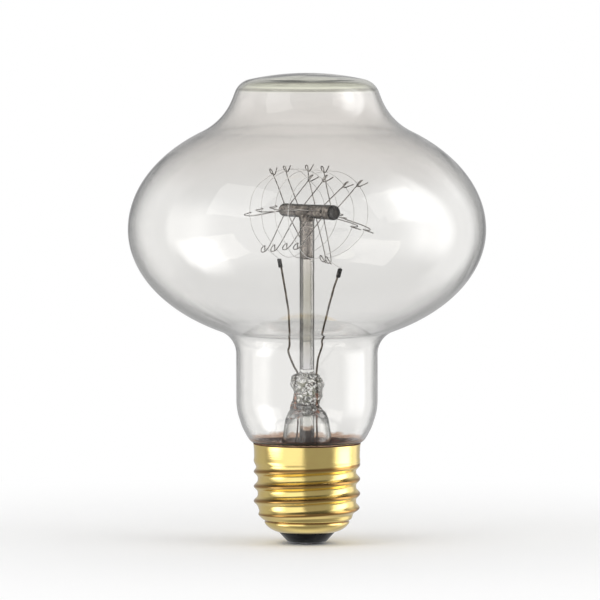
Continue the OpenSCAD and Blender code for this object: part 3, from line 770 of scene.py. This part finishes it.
def stem_form(sides):
    """The stem's points, its faces and how deep in a fold each point lies, which the finish paints as shade.
    """
    flare = smooth(FLARE, 5)
    line = [Vector((r, z)) for z, r in flare]
    hollow = [Vector((9.3, 12.6)), *[p for p in moved_aside(line, -FLARE_WALL) if p.x < 9.2 and p.y < 29.8],
              (4.1, 30.7), (3.4, 31.5), (2.7, 32.1), (1.95, 32.45), (0, 32.6)]
    points = rings([*reversed(hollow), (10.9, 12.6), (10.9, 13.5)], sides)
    crease_shades = [0.0] * len(points)
    turn = Matrix.Rotation(math.radians(PRESS_TURN), 3, "Z")
    for z, wide, thick in [(z, r, r) for z, r in flare] + smooth(PRESS, 8)[1:]:
        reach = ease((z - LUMPS_FOOT_Z) / 1.6) * ease((LUMPS_HEAD_Z - z) / 1.2)
        for k in range(sides):
            ring = polar(1, 360 * k / sides)
            spot = Vector((wide * ring.x, thick * ring.y, z))
            fold = crease(spot)
            swell = 1 + reach * (noise.noise(spot * 0.5) - 0.75 * fold) / max(wide, thick)
            crease_shades.append(reach * fold)
            points.append(turn @ Vector((swell * spot.x, swell * spot.y, z)))
    faces = ring_faces(len(points) // sides, sides)
    faces.append(tuple(range(len(points) - sides, len(points))))
    return points, faces, crease_shades


def add_bubble(piece, place, half):
    """Adds a hollow, whose faces look inward, to a piece of glass."""
    work = bmesh.new()
    work.from_mesh(piece.data)
    made = bmesh.ops.create_icosphere(work, subdivisions=3, radius=1.0)["verts"]
    for vert in made:
        lump = 1 + 0.12 * noise.noise(vert.co * 1.5 + place)
        vert.co = MM * (place + lump * vert.co * Vector(half))
    inner = {face for vert in made for face in vert.link_faces}
    for face in inner:
        face.smooth = True
    bmesh.ops.reverse_faces(work, faces=list(inner))
    work.to_mesh(piece.data)
    work.free()


class LAMP_OT_stem(bpy.types.Operator):
    """Builds the pressed stem: the flare, the press, the exhaust tube and the arbor"""

    bl_idname = "lamp.stem"
    bl_label = "Build the stem"

    def execute(self, context):
        *form, crease_shades = stem_form(128)
        piece = add_piece("stem_glass", form, "stem_glass", "clear_glass", "stem_flare", "stem_press",
                          fold=crease_shades)
        for place, half in PRESS_BUBBLES:
            add_bubble(piece, Vector(place), half)
        head = context.scene.lamp_support.bar_height / MM - ARBOR_HEAD_DROP
        tube = rounded([(TUBE_BORE_R, 42.9), (TUBE_R, 42.9), (TUBE_R, head), (TUBE_BORE_R, head)], 0.1)
        add_piece("arbor_glass", turned(tube, 64), "arbor_glass", "clear_glass", "arbor_tube")
        tail = [(0, 8.5), (0.5, 8.8), (1.1, 10.1), (1.6, 11.6), (TUBE_R, 12.6), (TUBE_R, 32.5),
                (TUBE_BORE_R, 32.5), (TUBE_BORE_R, 12.7), (0.8, 11.4), (0, 10.5)]
        exhaust = turned(rounded(tail, 0.3), 48)
        add_piece("exhaust_glass", exhaust, "stem_glass", "clear_glass", "exhaust_tube")
        return {"FINISHED"}


# The tee, the anchors and the filament.

# A row for each loop and a column for each of its anchors: directions round the bar in degrees from
# straight up, then how far each anchor holds the filament, and how far its foot stands, from the
# loop's mean place along the bar.
ANCHOR_DIRS = [[217, 266, 333, 405, 455, 515], [220, 272, 343, 405, 457, 523],
               [225, 276, 353, 414, 469, 528], [227, 278, 349, 411, 472, 532]]
ANCHOR_DRIFTS = [[0.7, 0.2, 0.8, -1.2, -0.3, -0.3], [-0.2, -0.5, -1.9, -0.8, -0.8, -1.5],
                 [0.3, -0.4, -0.8, 0.6, 0.5, 0], [-0.5, -0.5, 1.2, 1.3, 0.4, -2.4]]
ANCHOR_FEET = [[0.3, 0, 0.2, -0.7, -0.3, 0], [-0.3, -0.3, -0.5, -0.4, -0.4, -0.6],
               [-0.1, -0.1, 0.8, 1.4, 0.2, 0.6], [-0.3, -0.3, 2, 2.4, 0.3, -1.9]]
# How much further out than the mean radius each column's anchors hold the filament, and how far it
# bows out half-way to the next anchor.
ANCHOR_REACHES = [0.45, 0, -0.9, -0.5, 0.6, 0.5]
SPAN_BOWS = [0, 0.5, 0, 0.2, 0, 0.3]
LOOP_R = 11.0
# How deep an anchor's root sits in the bar, and how far it stands straight out before it bends.
ROOT_DEPTH, ROOT_RISE = 0.97, 0.4
# The pigtail: its radius, how far it advances in its turn and the share of that before the eye, its gap to
# the filament, and how far out and along the bar from the eye its tail ends.
PIGTAIL_R, PIGTAIL_ADVANCE, PIGTAIL_START, PIGTAIL_GAP = 0.85, 0.9, 0.45, 0.08
TAIL_OUT, TAIL_ALONG = 1.45, 2.1
LEAD_TIPS = [Vector((-6.7, 10.7, 69.2)), Vector((7.9, -12.3, 67.9))]
LEAD_BENDS = [Vector((-5.2, 7.6, 60.5)), Vector((5.8, -8.4, 60.5))]
# How far beside a lead's end the filament's end lies under the clamp.
SEAT_OFFSET = 0.4
# The bar's melted end and cut end, how far the cut end swells and its face is hollowed, and how far the bar
# stands off the axis.
MELTED_END_R, CUT_END_R, CUT_SWELL, CUT_HOLLOW, BAR_SHIFT = 1.3, 0.35, 0.2, 0.1, 0.5
# The radius of the soot round an anchor's foot, how softly it ends, and how much of the cut end gets painted
# shade.
SOOT_R, SOOT_FADE, SHADED_END = 0.75, 0.4, 0.4


def bar_axes():
    turn = bpy.context.scene.lamp_support.bar_turn
    return Vector((math.cos(turn), math.sin(turn), 0)), Vector((-math.sin(turn), math.cos(turn), 0))


def bar_point(direction, out, along):
    """A point beside the bar: a direction round it from straight up, a distance out and a place along it."""
    ahead, side = bar_axes()
    a = math.radians(direction)
    middle = Vector((0, 0, bpy.context.scene.lamp_support.bar_height / MM))
    return middle + along * ahead + out * (math.sin(a) * side + math.cos(a) * Vector((0, 0, 1)))


def anchors():
    """Each anchor's name, direction, distance out to the filament, and its eye and foot along the bar."""
    settings = bpy.context.scene.lamp_filament
    for loop in range(settings.loops):
        place = settings.pitch / MM * (loop + 1 - (settings.loops + 1) / 2)
        for k, reach in enumerate(ANCHOR_REACHES):
            yield (f"anchor_{loop + 1}_{k + 1}", ANCHOR_DIRS[loop][k] + 360 * loop, LOOP_R + reach,
                   place + ANCHOR_DRIFTS[loop][k], place + ANCHOR_FEET[loop][k])


class LAMP_OT_tee(bpy.types.Operator):
    """Builds the smoked glass tee that holds the anchors"""

    bl_idname = "lamp.tee"
    bl_label = "Build the tee"

    def execute(self, context):
        support = context.scene.lamp_support
        half, r = support.bar_length / 2 / MM, support.bar_diameter / 2 / MM
        melted = arc((r - MELTED_END_R, MELTED_END_R - half), MELTED_END_R, -90, 0, 10)
        cut = arc((r + CUT_SWELL - CUT_END_R, half - CUT_END_R), CUT_END_R, 0, 90, 6)
        barrel = [(r + CUT_SWELL * ease(i / 40 - 0.5), mix(MELTED_END_R + 0.1 - half, half - 0.5, i / 60))
                  for i in range(61)]
        face = [(mix(r - 0.25, 0, i / 8), half - 0.02 - CUT_HOLLOW * math.sin(math.pi * i / 16))
                for i in range(9)]
        line = [(0, -half), *melted, *barrel, *cut, *face]
        sides = 72
        feet = [bar_point(direction, r, foot) for _, direction, _, _, foot in anchors()]
        points = []
        soot = []
        for reach, along in line:
            for i in range(sides):
                a = 360 * i / sides
                wobble = 1 + 0.02 * noise.noise(Vector((*polar(1.2, a), along / 2))) if reach else 1
                point = bar_point(a, min(reach * wobble, r + CUT_SWELL + 0.02), along + BAR_SHIFT)
                near = min((point - foot).length for foot in feet)
                # Painted shade on the cut end, as a glass rod looks dark seen end on.
                end = ease((along - half + SHADED_END) / 0.15) * mix(0.9, 1, ease(reach / r - 0.2))
                points.append(point)
                soot.append(max(ease((SOOT_R - near) / SOOT_FADE), end))
        joint = rounded([(0, 79.2), (1.82, 79.2), (2.0, 80.2), (2.1, 80.9), (0, 81.4)], 0.3)
        joint_points, joint_faces = turned(joint, 48)
        faces = ring_faces(len(line), sides) + [tuple(len(points) + i for i in face) for face in joint_faces]
        soot += [0.25] * len(joint_points)
        add_piece("tee_glass", (points + joint_points, faces), "smoked_glass", "smoky_glass", "tee_bar",
                  soot=soot)
        rod = rounded([(0, 69.8), (TUBE_BORE_R, 69.8), (TUBE_BORE_R, 79.6), (0, 79.6)], 0.1)
        add_piece("tee_rod", turned(rod, 64), "browned_glass", "smoky_glass", "tee_bar")
        return {"FINISHED"}


class LAMP_OT_anchors(bpy.types.Operator):
    """Builds the anchor wires, each with its pigtail and tail"""

    bl_idname = "lamp.anchors"
    bl_label = "Build the anchors"

    def execute(self, context):
        settings = context.scene.lamp_filament
        radius = settings.anchor_diameter / 2 / MM
        surface = context.scene.lamp_support.bar_diameter / 2 / MM
        along_bar, across_bar = bar_axes()
        for name, direction, out, eye, foot in anchors():
            a = math.radians(direction)
            curl_out = out + PIGTAIL_R - radius - settings.diameter / 2 / MM - PIGTAIL_GAP
            ahead = PIGTAIL_ADVANCE * (math.cos(a) * across_bar - Vector((0, 0, math.sin(a))))
            path = [bar_point(direction, surface - ROOT_DEPTH, foot),
                    bar_point(direction, surface + ROOT_RISE, foot),
                    bar_point(direction, out - 2 * PIGTAIL_R, eye + PIGTAIL_R) - PIGTAIL_START * ahead]
            for turn in range(0, 360, 30):
                ring = polar(PIGTAIL_R, turn)
                advance = (turn / 360 - PIGTAIL_START) * ahead
                path.append(bar_point(direction, curl_out + ring.y, eye + ring.x) + advance)
            path.append(bar_point(direction, out + TAIL_OUT, eye + TAIL_ALONG) + (1 - PIGTAIL_START) * ahead)
            wire = swept(smooth(path, 4), radius, 10, along_bar)
            add_piece(name + "_wire", wire, "nickel_wire", "nickel", name)
        return {"FINISHED"}


def seat_point(side, height):
    """A place beside a lead's end, under the clamp, at a height above the tip."""
    tip, bend = LEAD_TIPS[side], LEAD_BENDS[side]
    run = (tip - bend).normalized()
    return tip + height * run + SEAT_OFFSET * Vector((-run.y, run.x, 0)).normalized()


class LAMP_OT_filament(bpy.types.Operator):
    """Builds the filament that turns round the bar from anchor to anchor"""

    bl_idname = "lamp.filament"
    bl_label = "Build the filament"

    def execute(self, context):
        eyes = [Vector((direction, out, eye)) for _, direction, out, eye, _ in anchors()]
        knots = []
        for i, (eye, next_eye) in enumerate(zip(eyes, eyes[1:])):
            knots += [eye, eye.lerp(next_eye, 0.5) + Vector((0, SPAN_BOWS[i % len(SPAN_BOWS)], 0))]
        knots.append(eyes[-1])
        turns = [eyes[0] - Vector((5, 0, 0)), *smooth(knots, 6), eyes[-1] + Vector((5, 0, 0))]
        path = [seat_point(0, -1.3), seat_point(0, 0.35), *[bar_point(*turn) for turn in turns],
                seat_point(1, 0.35), seat_point(1, -1.3)]
        thread = swept(path, context.scene.lamp_filament.diameter / 2 / MM, 10)
        add_piece("filament_thread", thread, "carbon_thread", "carbon", "filament")
        return {"FINISHED"}


# Leads and their joints.

SEAL_FOOT_Z, SEAL_HEAD_Z = 31.6, 37
CAP_LEAD_R = 0.2
# The side of the cap, in degrees, where the side lead meets the shell.
SIDE_JOINT = 122
# The clamp: its length, half width and half thickness, how far its head stands above the lead's tip, how
# far it is set over towards the filament, and how deep its crimp is as a share of its thickness.
CLAMP_LENGTH, CLAMP_HALF_WIDTH, CLAMP_HALF_THICK = 2.2, 0.52, 0.35
CLAMP_HEAD, CLAMP_SET_OVER, CRIMP_DEPTH = 0.1, 0.17, 0.16


def press_point(side, z):
    return upright(side * PRESS_LEAD_R, PRESS_TURN, z)


def lead_route(side, bends):
    """From the seal wire out of the press, through the bends, and straight to the tip."""
    index = max(side, 0)
    route = [press_point(side, z) for z in (SEAL_HEAD_Z, 39.4, 41.8)]
    last, tip = LEAD_BENDS[index], LEAD_TIPS[index]
    return route + [*bends, last] + [last.lerp(tip, s / 3) for s in (1, 2, 3)]


class LAMP_OT_leads(bpy.types.Operator):
    """Builds the lead-in wires, their clamps, the seal wires and the leads inside the cap"""

    bl_idname = "lamp.leads"
    bl_label = "Build the leads"

    def execute(self, context):
        radius = context.scene.lamp_filament.lead_diameter / 2 / MM
        left = [(-3.2, 2.4, 43.4), (-4.1, 3.5, 45.5), (-4.6, 4.2, 47.6), (-4.3, 4.8, 49.6), (-4.5, 6.1, 55.6)]
        right = [(2.5, -1.8, 43.8), (2.8, -2.4, 46), (3.7, -4, 49.4), (3.8, -4.8, 52)]
        for name, side, bends in (("lead_in_left", -1, left), ("lead_in_right", 1, right)):
            wire = swept(smooth(lead_route(side, bends), 8), radius, 14)
            add_piece(name + "_wire", wire, "oxidised_lead", "nickel", name)
        for name, side in (("seal_wire_left", -1), ("seal_wire_right", 1)):
            path = [press_point(side, mix(SEAL_FOOT_Z, SEAL_HEAD_Z, s / 4)) for s in range(5)]
            add_piece(name + "_copper", swept(path, radius, 14), "copper_wire", "copper", name)
        to_rim = [(10.8, 11), (11.38, 12.6), (11.38, 15.6), (11.38, 18.6), (12.05, 21.6), (12.35, 23.3)]
        side_route = [press_point(-1, SEAL_FOOT_Z), (-2.3, 1.6, 29), (-2.8, 2.6, 24), (-3.6, 4.2, 18),
                      (-5, 7, 12.6), *[upright(r, SIDE_JOINT, z) for r, z in to_rim]]
        centre_route = [press_point(1, SEAL_FOOT_Z), (2.4, -1.5, 27), (2.7, -1.4, 18), (2.5, -1.2, 10),
                        (1, -0.4, 7.6), (0, 0, 6.2), (0, 0, 3.5), (0, 0, 0.7)]
        for name, route in (("side_lead", side_route), ("centre_lead", centre_route)):
            wire = swept(smooth(route, 8), CAP_LEAD_R, 12)
            add_piece(name + "_wire", wire, "oxidised_copper", "copper", name)
        for name, tip, bend in zip(("clamp_left", "clamp_right"), LEAD_TIPS, LEAD_BENDS):
            add_piece(name + "_fold", clamp_form(tip, bend), "sooted_clamp", "nickel", name, sharp=50)
        return {"FINISHED"}


def squared(value):
    """A sine or cosine pushed outward, which turns a circle into a rounded square."""
    return math.copysign(abs(value) ** 0.6, value)


def clamp_form(tip, bend):
    """A scrap of nickel folded over the ends of a lead and the filament, and crimped."""
    run = (tip - bend).normalized()
    across = Vector((-run.y, run.x, 0)).normalized()
    third = run.cross(across)
    sides, levels = 28, 14
    points = []
    for i in range(levels + 1):
        along = CLAMP_HEAD - CLAMP_LENGTH * i / levels
        pinch = 1 - CRIMP_DEPTH * math.exp(-((i - 0.5 * levels) / 2.2) ** 2)
        for k in range(sides):
            ring = polar(1, 360 * k / sides)
            wide = CLAMP_HALF_WIDTH * squared(ring.x) + CLAMP_SET_OVER
            thick = CLAMP_HALF_THICK * pinch * squared(ring.y)
            points.append(tip + along * run + wide * across + thick * third)
    return points, tube_faces(levels + 1, sides)


# The cap.

# The ends of the thread, and the middle of its groove where it crosses the X axis.
THREAD_FOOT_Z, THREAD_HEAD_Z, GROOVE_Z = 5.6, 20.6, 14.1
# How much height the groove takes to run in at the foot and out at the head, and how narrow its crests are.
RUN_IN, RUN_OUT, CREST_POWER = 2.4, 2.8, 1.7
LIP_LINE_Z, LIP_LINE_DEPTH, LIP_LINE_WIDTH = 5.7, 0.3, 0.3
SHELL_FOOT_R, SHELL_WALL = 10.6, 0.3
RIM_Z = 24.45
# The tarnish and painted shade lie this far above the crests' middle.
TARNISH_AND_SHADE_RISE = 0.15


def groove(z, degrees):
    """How deep the rolled groove is at a height and an angle: a wide hollow between narrow crests."""
    share = ease((z - THREAD_FOOT_Z) / RUN_IN) * ease((THREAD_HEAD_Z - z) / RUN_OUT)
    pitch = bpy.context.scene.lamp_cap.thread_pitch / MM
    wave = (1 - math.cos(math.radians(360 * (z - GROOVE_Z) / pitch - degrees))) / 2
    return share * (1 - wave ** CREST_POWER) + LIP_LINE_DEPTH * lip_line(z)


def lip_line(z):
    """The thin line rolled in above the shell's lip."""
    return math.exp(-((z - LIP_LINE_Z) / LIP_LINE_WIDTH) ** 2)


def crest_tarnish_and_shade(z, degrees):
    """Tarnish and painted shade along the crests and the lip's line, between 0 and a little over 1."""
    pitch = bpy.context.scene.lamp_cap.thread_pitch / MM
    turn = math.radians(360 * (z - GROOVE_Z + pitch / 2 - TARNISH_AND_SHADE_RISE) / pitch - degrees)
    crest = ((1 + math.cos(turn)) / 2) ** 3 if 7.2 < z < 19.8 else 0.0
    return max(crest, 1.3 * lip_line(z))


class LAMP_OT_shell(bpy.types.Operator):
    """Builds the brass screw shell with its rolled thread"""

    bl_idname = "lamp.shell"
    bl_label = "Build the screw shell"

    def execute(self, context):
        r = context.scene.lamp_cap.thread_diameter / 2 / MM
        foot = [(7.15, 2.9), (8.4, 3.35), (9.5, 4.05), (10.25, 4.85), (SHELL_FOOT_R, THREAD_FOOT_Z)]
        line = smooth(foot, 4)
        for i in range(1, 111):
            z = mix(THREAD_FOOT_Z, THREAD_HEAD_Z, i / 110)
            widening = math.sin(math.radians(90 * min(1, (z - THREAD_FOOT_Z) / 4)))
            line.append(Vector((mix(SHELL_FOOT_R, r, widening), z)))
        line += smooth([(r, 20.7), (r - 0.1, 21.4), (r - 0.04, 23.4), (r + 0.08, RIM_Z)], 5)
        rim = arc((r - 0.07, RIM_Z), SHELL_WALL / 2, 0, 180, 6)
        lining = moved_aside(line, -SHELL_WALL)
        sides = 160
        points = []
        flanks = []
        for ring, source in [*zip(line, line), *zip(rim, rim), *zip(lining[::-1], line[::-1])]:
            for k in range(sides):
                a = 360 * k / sides
                points.append(upright(ring.x - groove(source.y, a), a, ring.y))
                flanks.append(crest_tarnish_and_shade(source.y, a))
        faces = ring_faces(len(points) // sides, sides, closed=True)
        add_piece("screw_shell_brass", (points, faces), "rolled_brass", "brass", "screw_shell", sharp=60,
                  flank=flanks)
        return {"FINISHED"}


def cement_lumps(z, degrees):
    """How uneven the cement is, most of all on the collar above the rim."""
    spot = noise.noise(Vector((*polar(5, degrees), 0.8 * z)))
    fine = noise.noise(Vector((*polar(16, degrees), 2.5 * z)))
    return 0.03 * spot if z < 24.65 else 0.06 * spot + 0.05 * fine


class LAMP_OT_base(bpy.types.Operator):
    """Builds the cement, the black glass insulator, the end contact and the solder"""

    bl_idname = "lamp.base"
    bl_label = "Build the base"

    def execute(self, context):
        inside = [(p.x + 0.03, p.y) for p in smooth([(11, 14.5), *NECK_FOOT], 8) if p.x < 13.15]
        outside = [(13.28, 24.85), (13.2, 24.7), (12.84, 24.66), (12.74, 24.3), (12.6, 23.9), (12.58, 21.3),
                   (11.74, 19.8), (11.74, 14.5)]
        cement = turned(inside + outside, 240, cement_lumps)
        add_piece("cement_ring", cement, "basing_cement", "cement", "basing_cement")
        moulded = [(0.6, 0.85), (4.2, 0.85), (4.2, 0.5), (4.8, 0.5), (6.85, 2.75), (6.95, 3.3), (8.1, 3.75),
                   (9.2, 4.4), (9.75, 5.1), (9.9, 6.2), (8.4, 6.6), (3.2, 5.2), (0.6, 5.2)]
        add_piece("insulator_glass", turned(rounded(moulded, 0.25), 96), "insulator_glass", "black_glass",
                  "insulator", sharp=50)
        disc = rounded([(0.6, 0.5), (4.2, 0.5), (4.2, 0.85), (0.6, 0.85)], 0.08)
        add_piece("contact_disc", turned(disc, 72), "dark_shaded_solder", "solder", "end_contact", sharp=50)
        nub = [(0, 0), (1.1, 0), (1.45, 0.1), (1.7, 0.28), (1.8, 0.5), (0.6, 0.52), (0.6, 1.6), (0, 1.6)]
        add_piece("contact_solder", turned(rounded(nub, 0.1), 48), "dark_shaded_solder", "solder", "tip_solder")
        bead = bmesh.new()
        bmesh.ops.create_icosphere(bead, subdivisions=3, radius=1.0)
        points = [upright(12.3, SIDE_JOINT, 23.3) + vert.co * (1 + 0.15 * noise.noise(vert.co * 1.7)) * 0.3
                  for vert in bead.verts]
        faces = [tuple(vert.index for vert in face.verts) for face in bead.faces]
        bead.free()
        add_piece("rim_joint_solder", (points, faces), "dark_shaded_solder", "solder", "rim_solder")
        return {"FINISHED"}


# The studio.

# The studio's panels: the sides left, right, low and high, each with its softness, and the level.
PANELS = [((-82, 14), (-8, 2), (-38, 12), (34, 12), 0.9),
          ((-91, 9), (-62, 9), (-43, 11), (-8, 4), 2.4),
          ((69, 13), (108, 5), (-22, 16), (48, 14), 2.8),
          ((108, 4), (140, 12), (-40, 12), (34, 12), 0.85),
          ((150, 10), (190, 5), (-40, 12), (34, 12), 0.2),
          ((-190, 5), (-100, 10), (-40, 12), (34, 12), 0.15)]
# The lamps: place, width and power.
LAMPS = {"soft_panel_left": ((-0.7, -0.5, 0.8), 0.7, 3.0), "soft_panel_right": ((0.8, -0.3, 0.6), 0.6, 2.0)}
CAMERA_PLACE, CAMERA_AIM, CAMERA_LENS = (0, -1.5, 0.14338), (-0.00171, 0, 0.0599), 367.35


def card(studio, azimuth, elevation, left, right, low, high):
    """A soft sided panel in the studio, as a mask. Each side has its angle and its softness, in degrees."""
    mask = 1.0
    for value, (angle, soft), inward in ((azimuth, left, 1), (azimuth, right, -1),
                                         (elevation, low, 1), (elevation, high, -1)):
        edge = studio.soft_ramp(value, angle - inward * soft, angle + inward * soft)
        mask = studio.maths("MULTIPLY", edge, mask)
    return mask


def studio_world():
    """White behind the lamp, and for shine a studio with soft panels at its sides."""
    world = bpy.data.worlds.new("studio")
    bpy.context.scene.world = world
    world.use_nodes = True
    studio = Nodes(world.node_tree)
    studio.tree.nodes.clear()
    way = studio.add("TexCoord").outputs["Generated"]
    parts = studio.add("SeparateXYZ", {"Vector": way}).outputs
    turn = studio.maths("ARCTAN2", parts["X"], studio.maths("MULTIPLY", parts["Y"], -1.0))
    azimuth = studio.maths("MULTIPLY", turn, 180 / math.pi)
    elevation = studio.maths("MULTIPLY", studio.maths("ARCSINE", parts["Z"]), 180 / math.pi)
    behind = studio.ramp(parts["Y"], -0.1, 0.45, 0.3, 1.0)
    table = studio.ramp(elevation, -70, -35, behind, 0.4)
    glow = studio.ramp(elevation, 20, 50, table, 0.1)
    for *sides, level in PANELS:
        glow = studio.maths("MULTIPLY_ADD", card(studio, azimuth, elevation, *sides), level, glow)
    shine, plain, white = [studio.add("Background", {"Color": (1, 1, 1), "Strength": level}).outputs[0]
                           for level in (glow, 0.75, 1.0)]
    straight, reflected = studio.rays()
    lit = studio.choose(reflected, plain, shine)
    passed = studio.choose(studio.soft_ramp(parts["Y"], 0.45, 0.8), shine, white)
    studio.add("OutputWorld", {"Surface": studio.choose(straight, lit, passed)})


def add_aimed(name, data, place, target):
    """A lamp or camera at a place, aimed at a target."""
    piece = bpy.data.objects.new(name, data)
    piece.location = place
    piece.rotation_euler = (Vector(target) - piece.location).to_track_quat("-Z", "Y").to_euler()
    bpy.context.scene.collection.objects.link(piece)
    return piece


class LAMP_OT_studio(bpy.types.Operator):
    """Builds the pale floor, the soft studio light and the camera"""

    bl_idname = "lamp.studio"
    bl_label = "Build the studio"

    def execute(self, context):
        context.scene.view_settings.view_transform = "Standard"
        floor = new_mesh("pale_floor", rings([(9000, 0)], 96), [tuple(range(96))])
        floor.data.materials.append(finish_named("pale_floor"))
        studio_world()
        for name, (place, width, power) in LAMPS.items():
            data = bpy.data.lights.new(name, "AREA")
            data.shape = "SQUARE"
            data.size = width
            data.energy = power
            add_aimed(name, data, place, (0, 0, 0.06)).visible_glossy = False
        lens = bpy.data.cameras.new("view")
        lens.lens = CAMERA_LENS
        lens.sensor_width = 36
        lens.clip_start = 0.01
        context.scene.camera = add_aimed("view", lens, CAMERA_PLACE, CAMERA_AIM)
        return {"FINISHED"}


class LAMP_PT_build(bpy.types.Panel):
    """Lists the settings and the steps that build the lamp"""

    bl_idname = "LAMP_PT_build"
    bl_label = "Filament Lamp"
    bl_space_type = "VIEW_3D"
    bl_region_type = "UI"
    bl_category = "Filament Lamp"

    def draw(self, context):
        for key in SETTINGS:
            box = self.layout.box()
            settings = getattr(context.scene, key)
            for name in settings.__annotations__:
                box.prop(settings, name)
        for step in STEPS:
            self.layout.operator(step.bl_idname)


SETTINGS = {"lamp_bulb": BulbSettings, "lamp_support": SupportSettings, "lamp_filament": FilamentSettings,
            "lamp_cap": CapSettings}
STEPS = [LAMP_OT_bulb, LAMP_OT_stem, LAMP_OT_tee, LAMP_OT_anchors, LAMP_OT_filament, LAMP_OT_leads,
         LAMP_OT_shell, LAMP_OT_base, LAMP_OT_studio]


def register():
    for group in [*SETTINGS.values(), *STEPS, LAMP_PT_build]:
        bpy.utils.register_class(group)
    for key, group in SETTINGS.items():
        setattr(bpy.types.Scene, key, PointerProperty(type=group))


def unregister():
    for key in SETTINGS:
        delattr(bpy.types.Scene, key)
    for group in reversed([*SETTINGS.values(), *STEPS, LAMP_PT_build]):
        bpy.utils.unregister_class(group)


def main():
    register()
    for step in STEPS:
        getattr(bpy.ops.lamp, step.bl_idname.split(".")[1])()


if __name__ == "__main__":
    main()
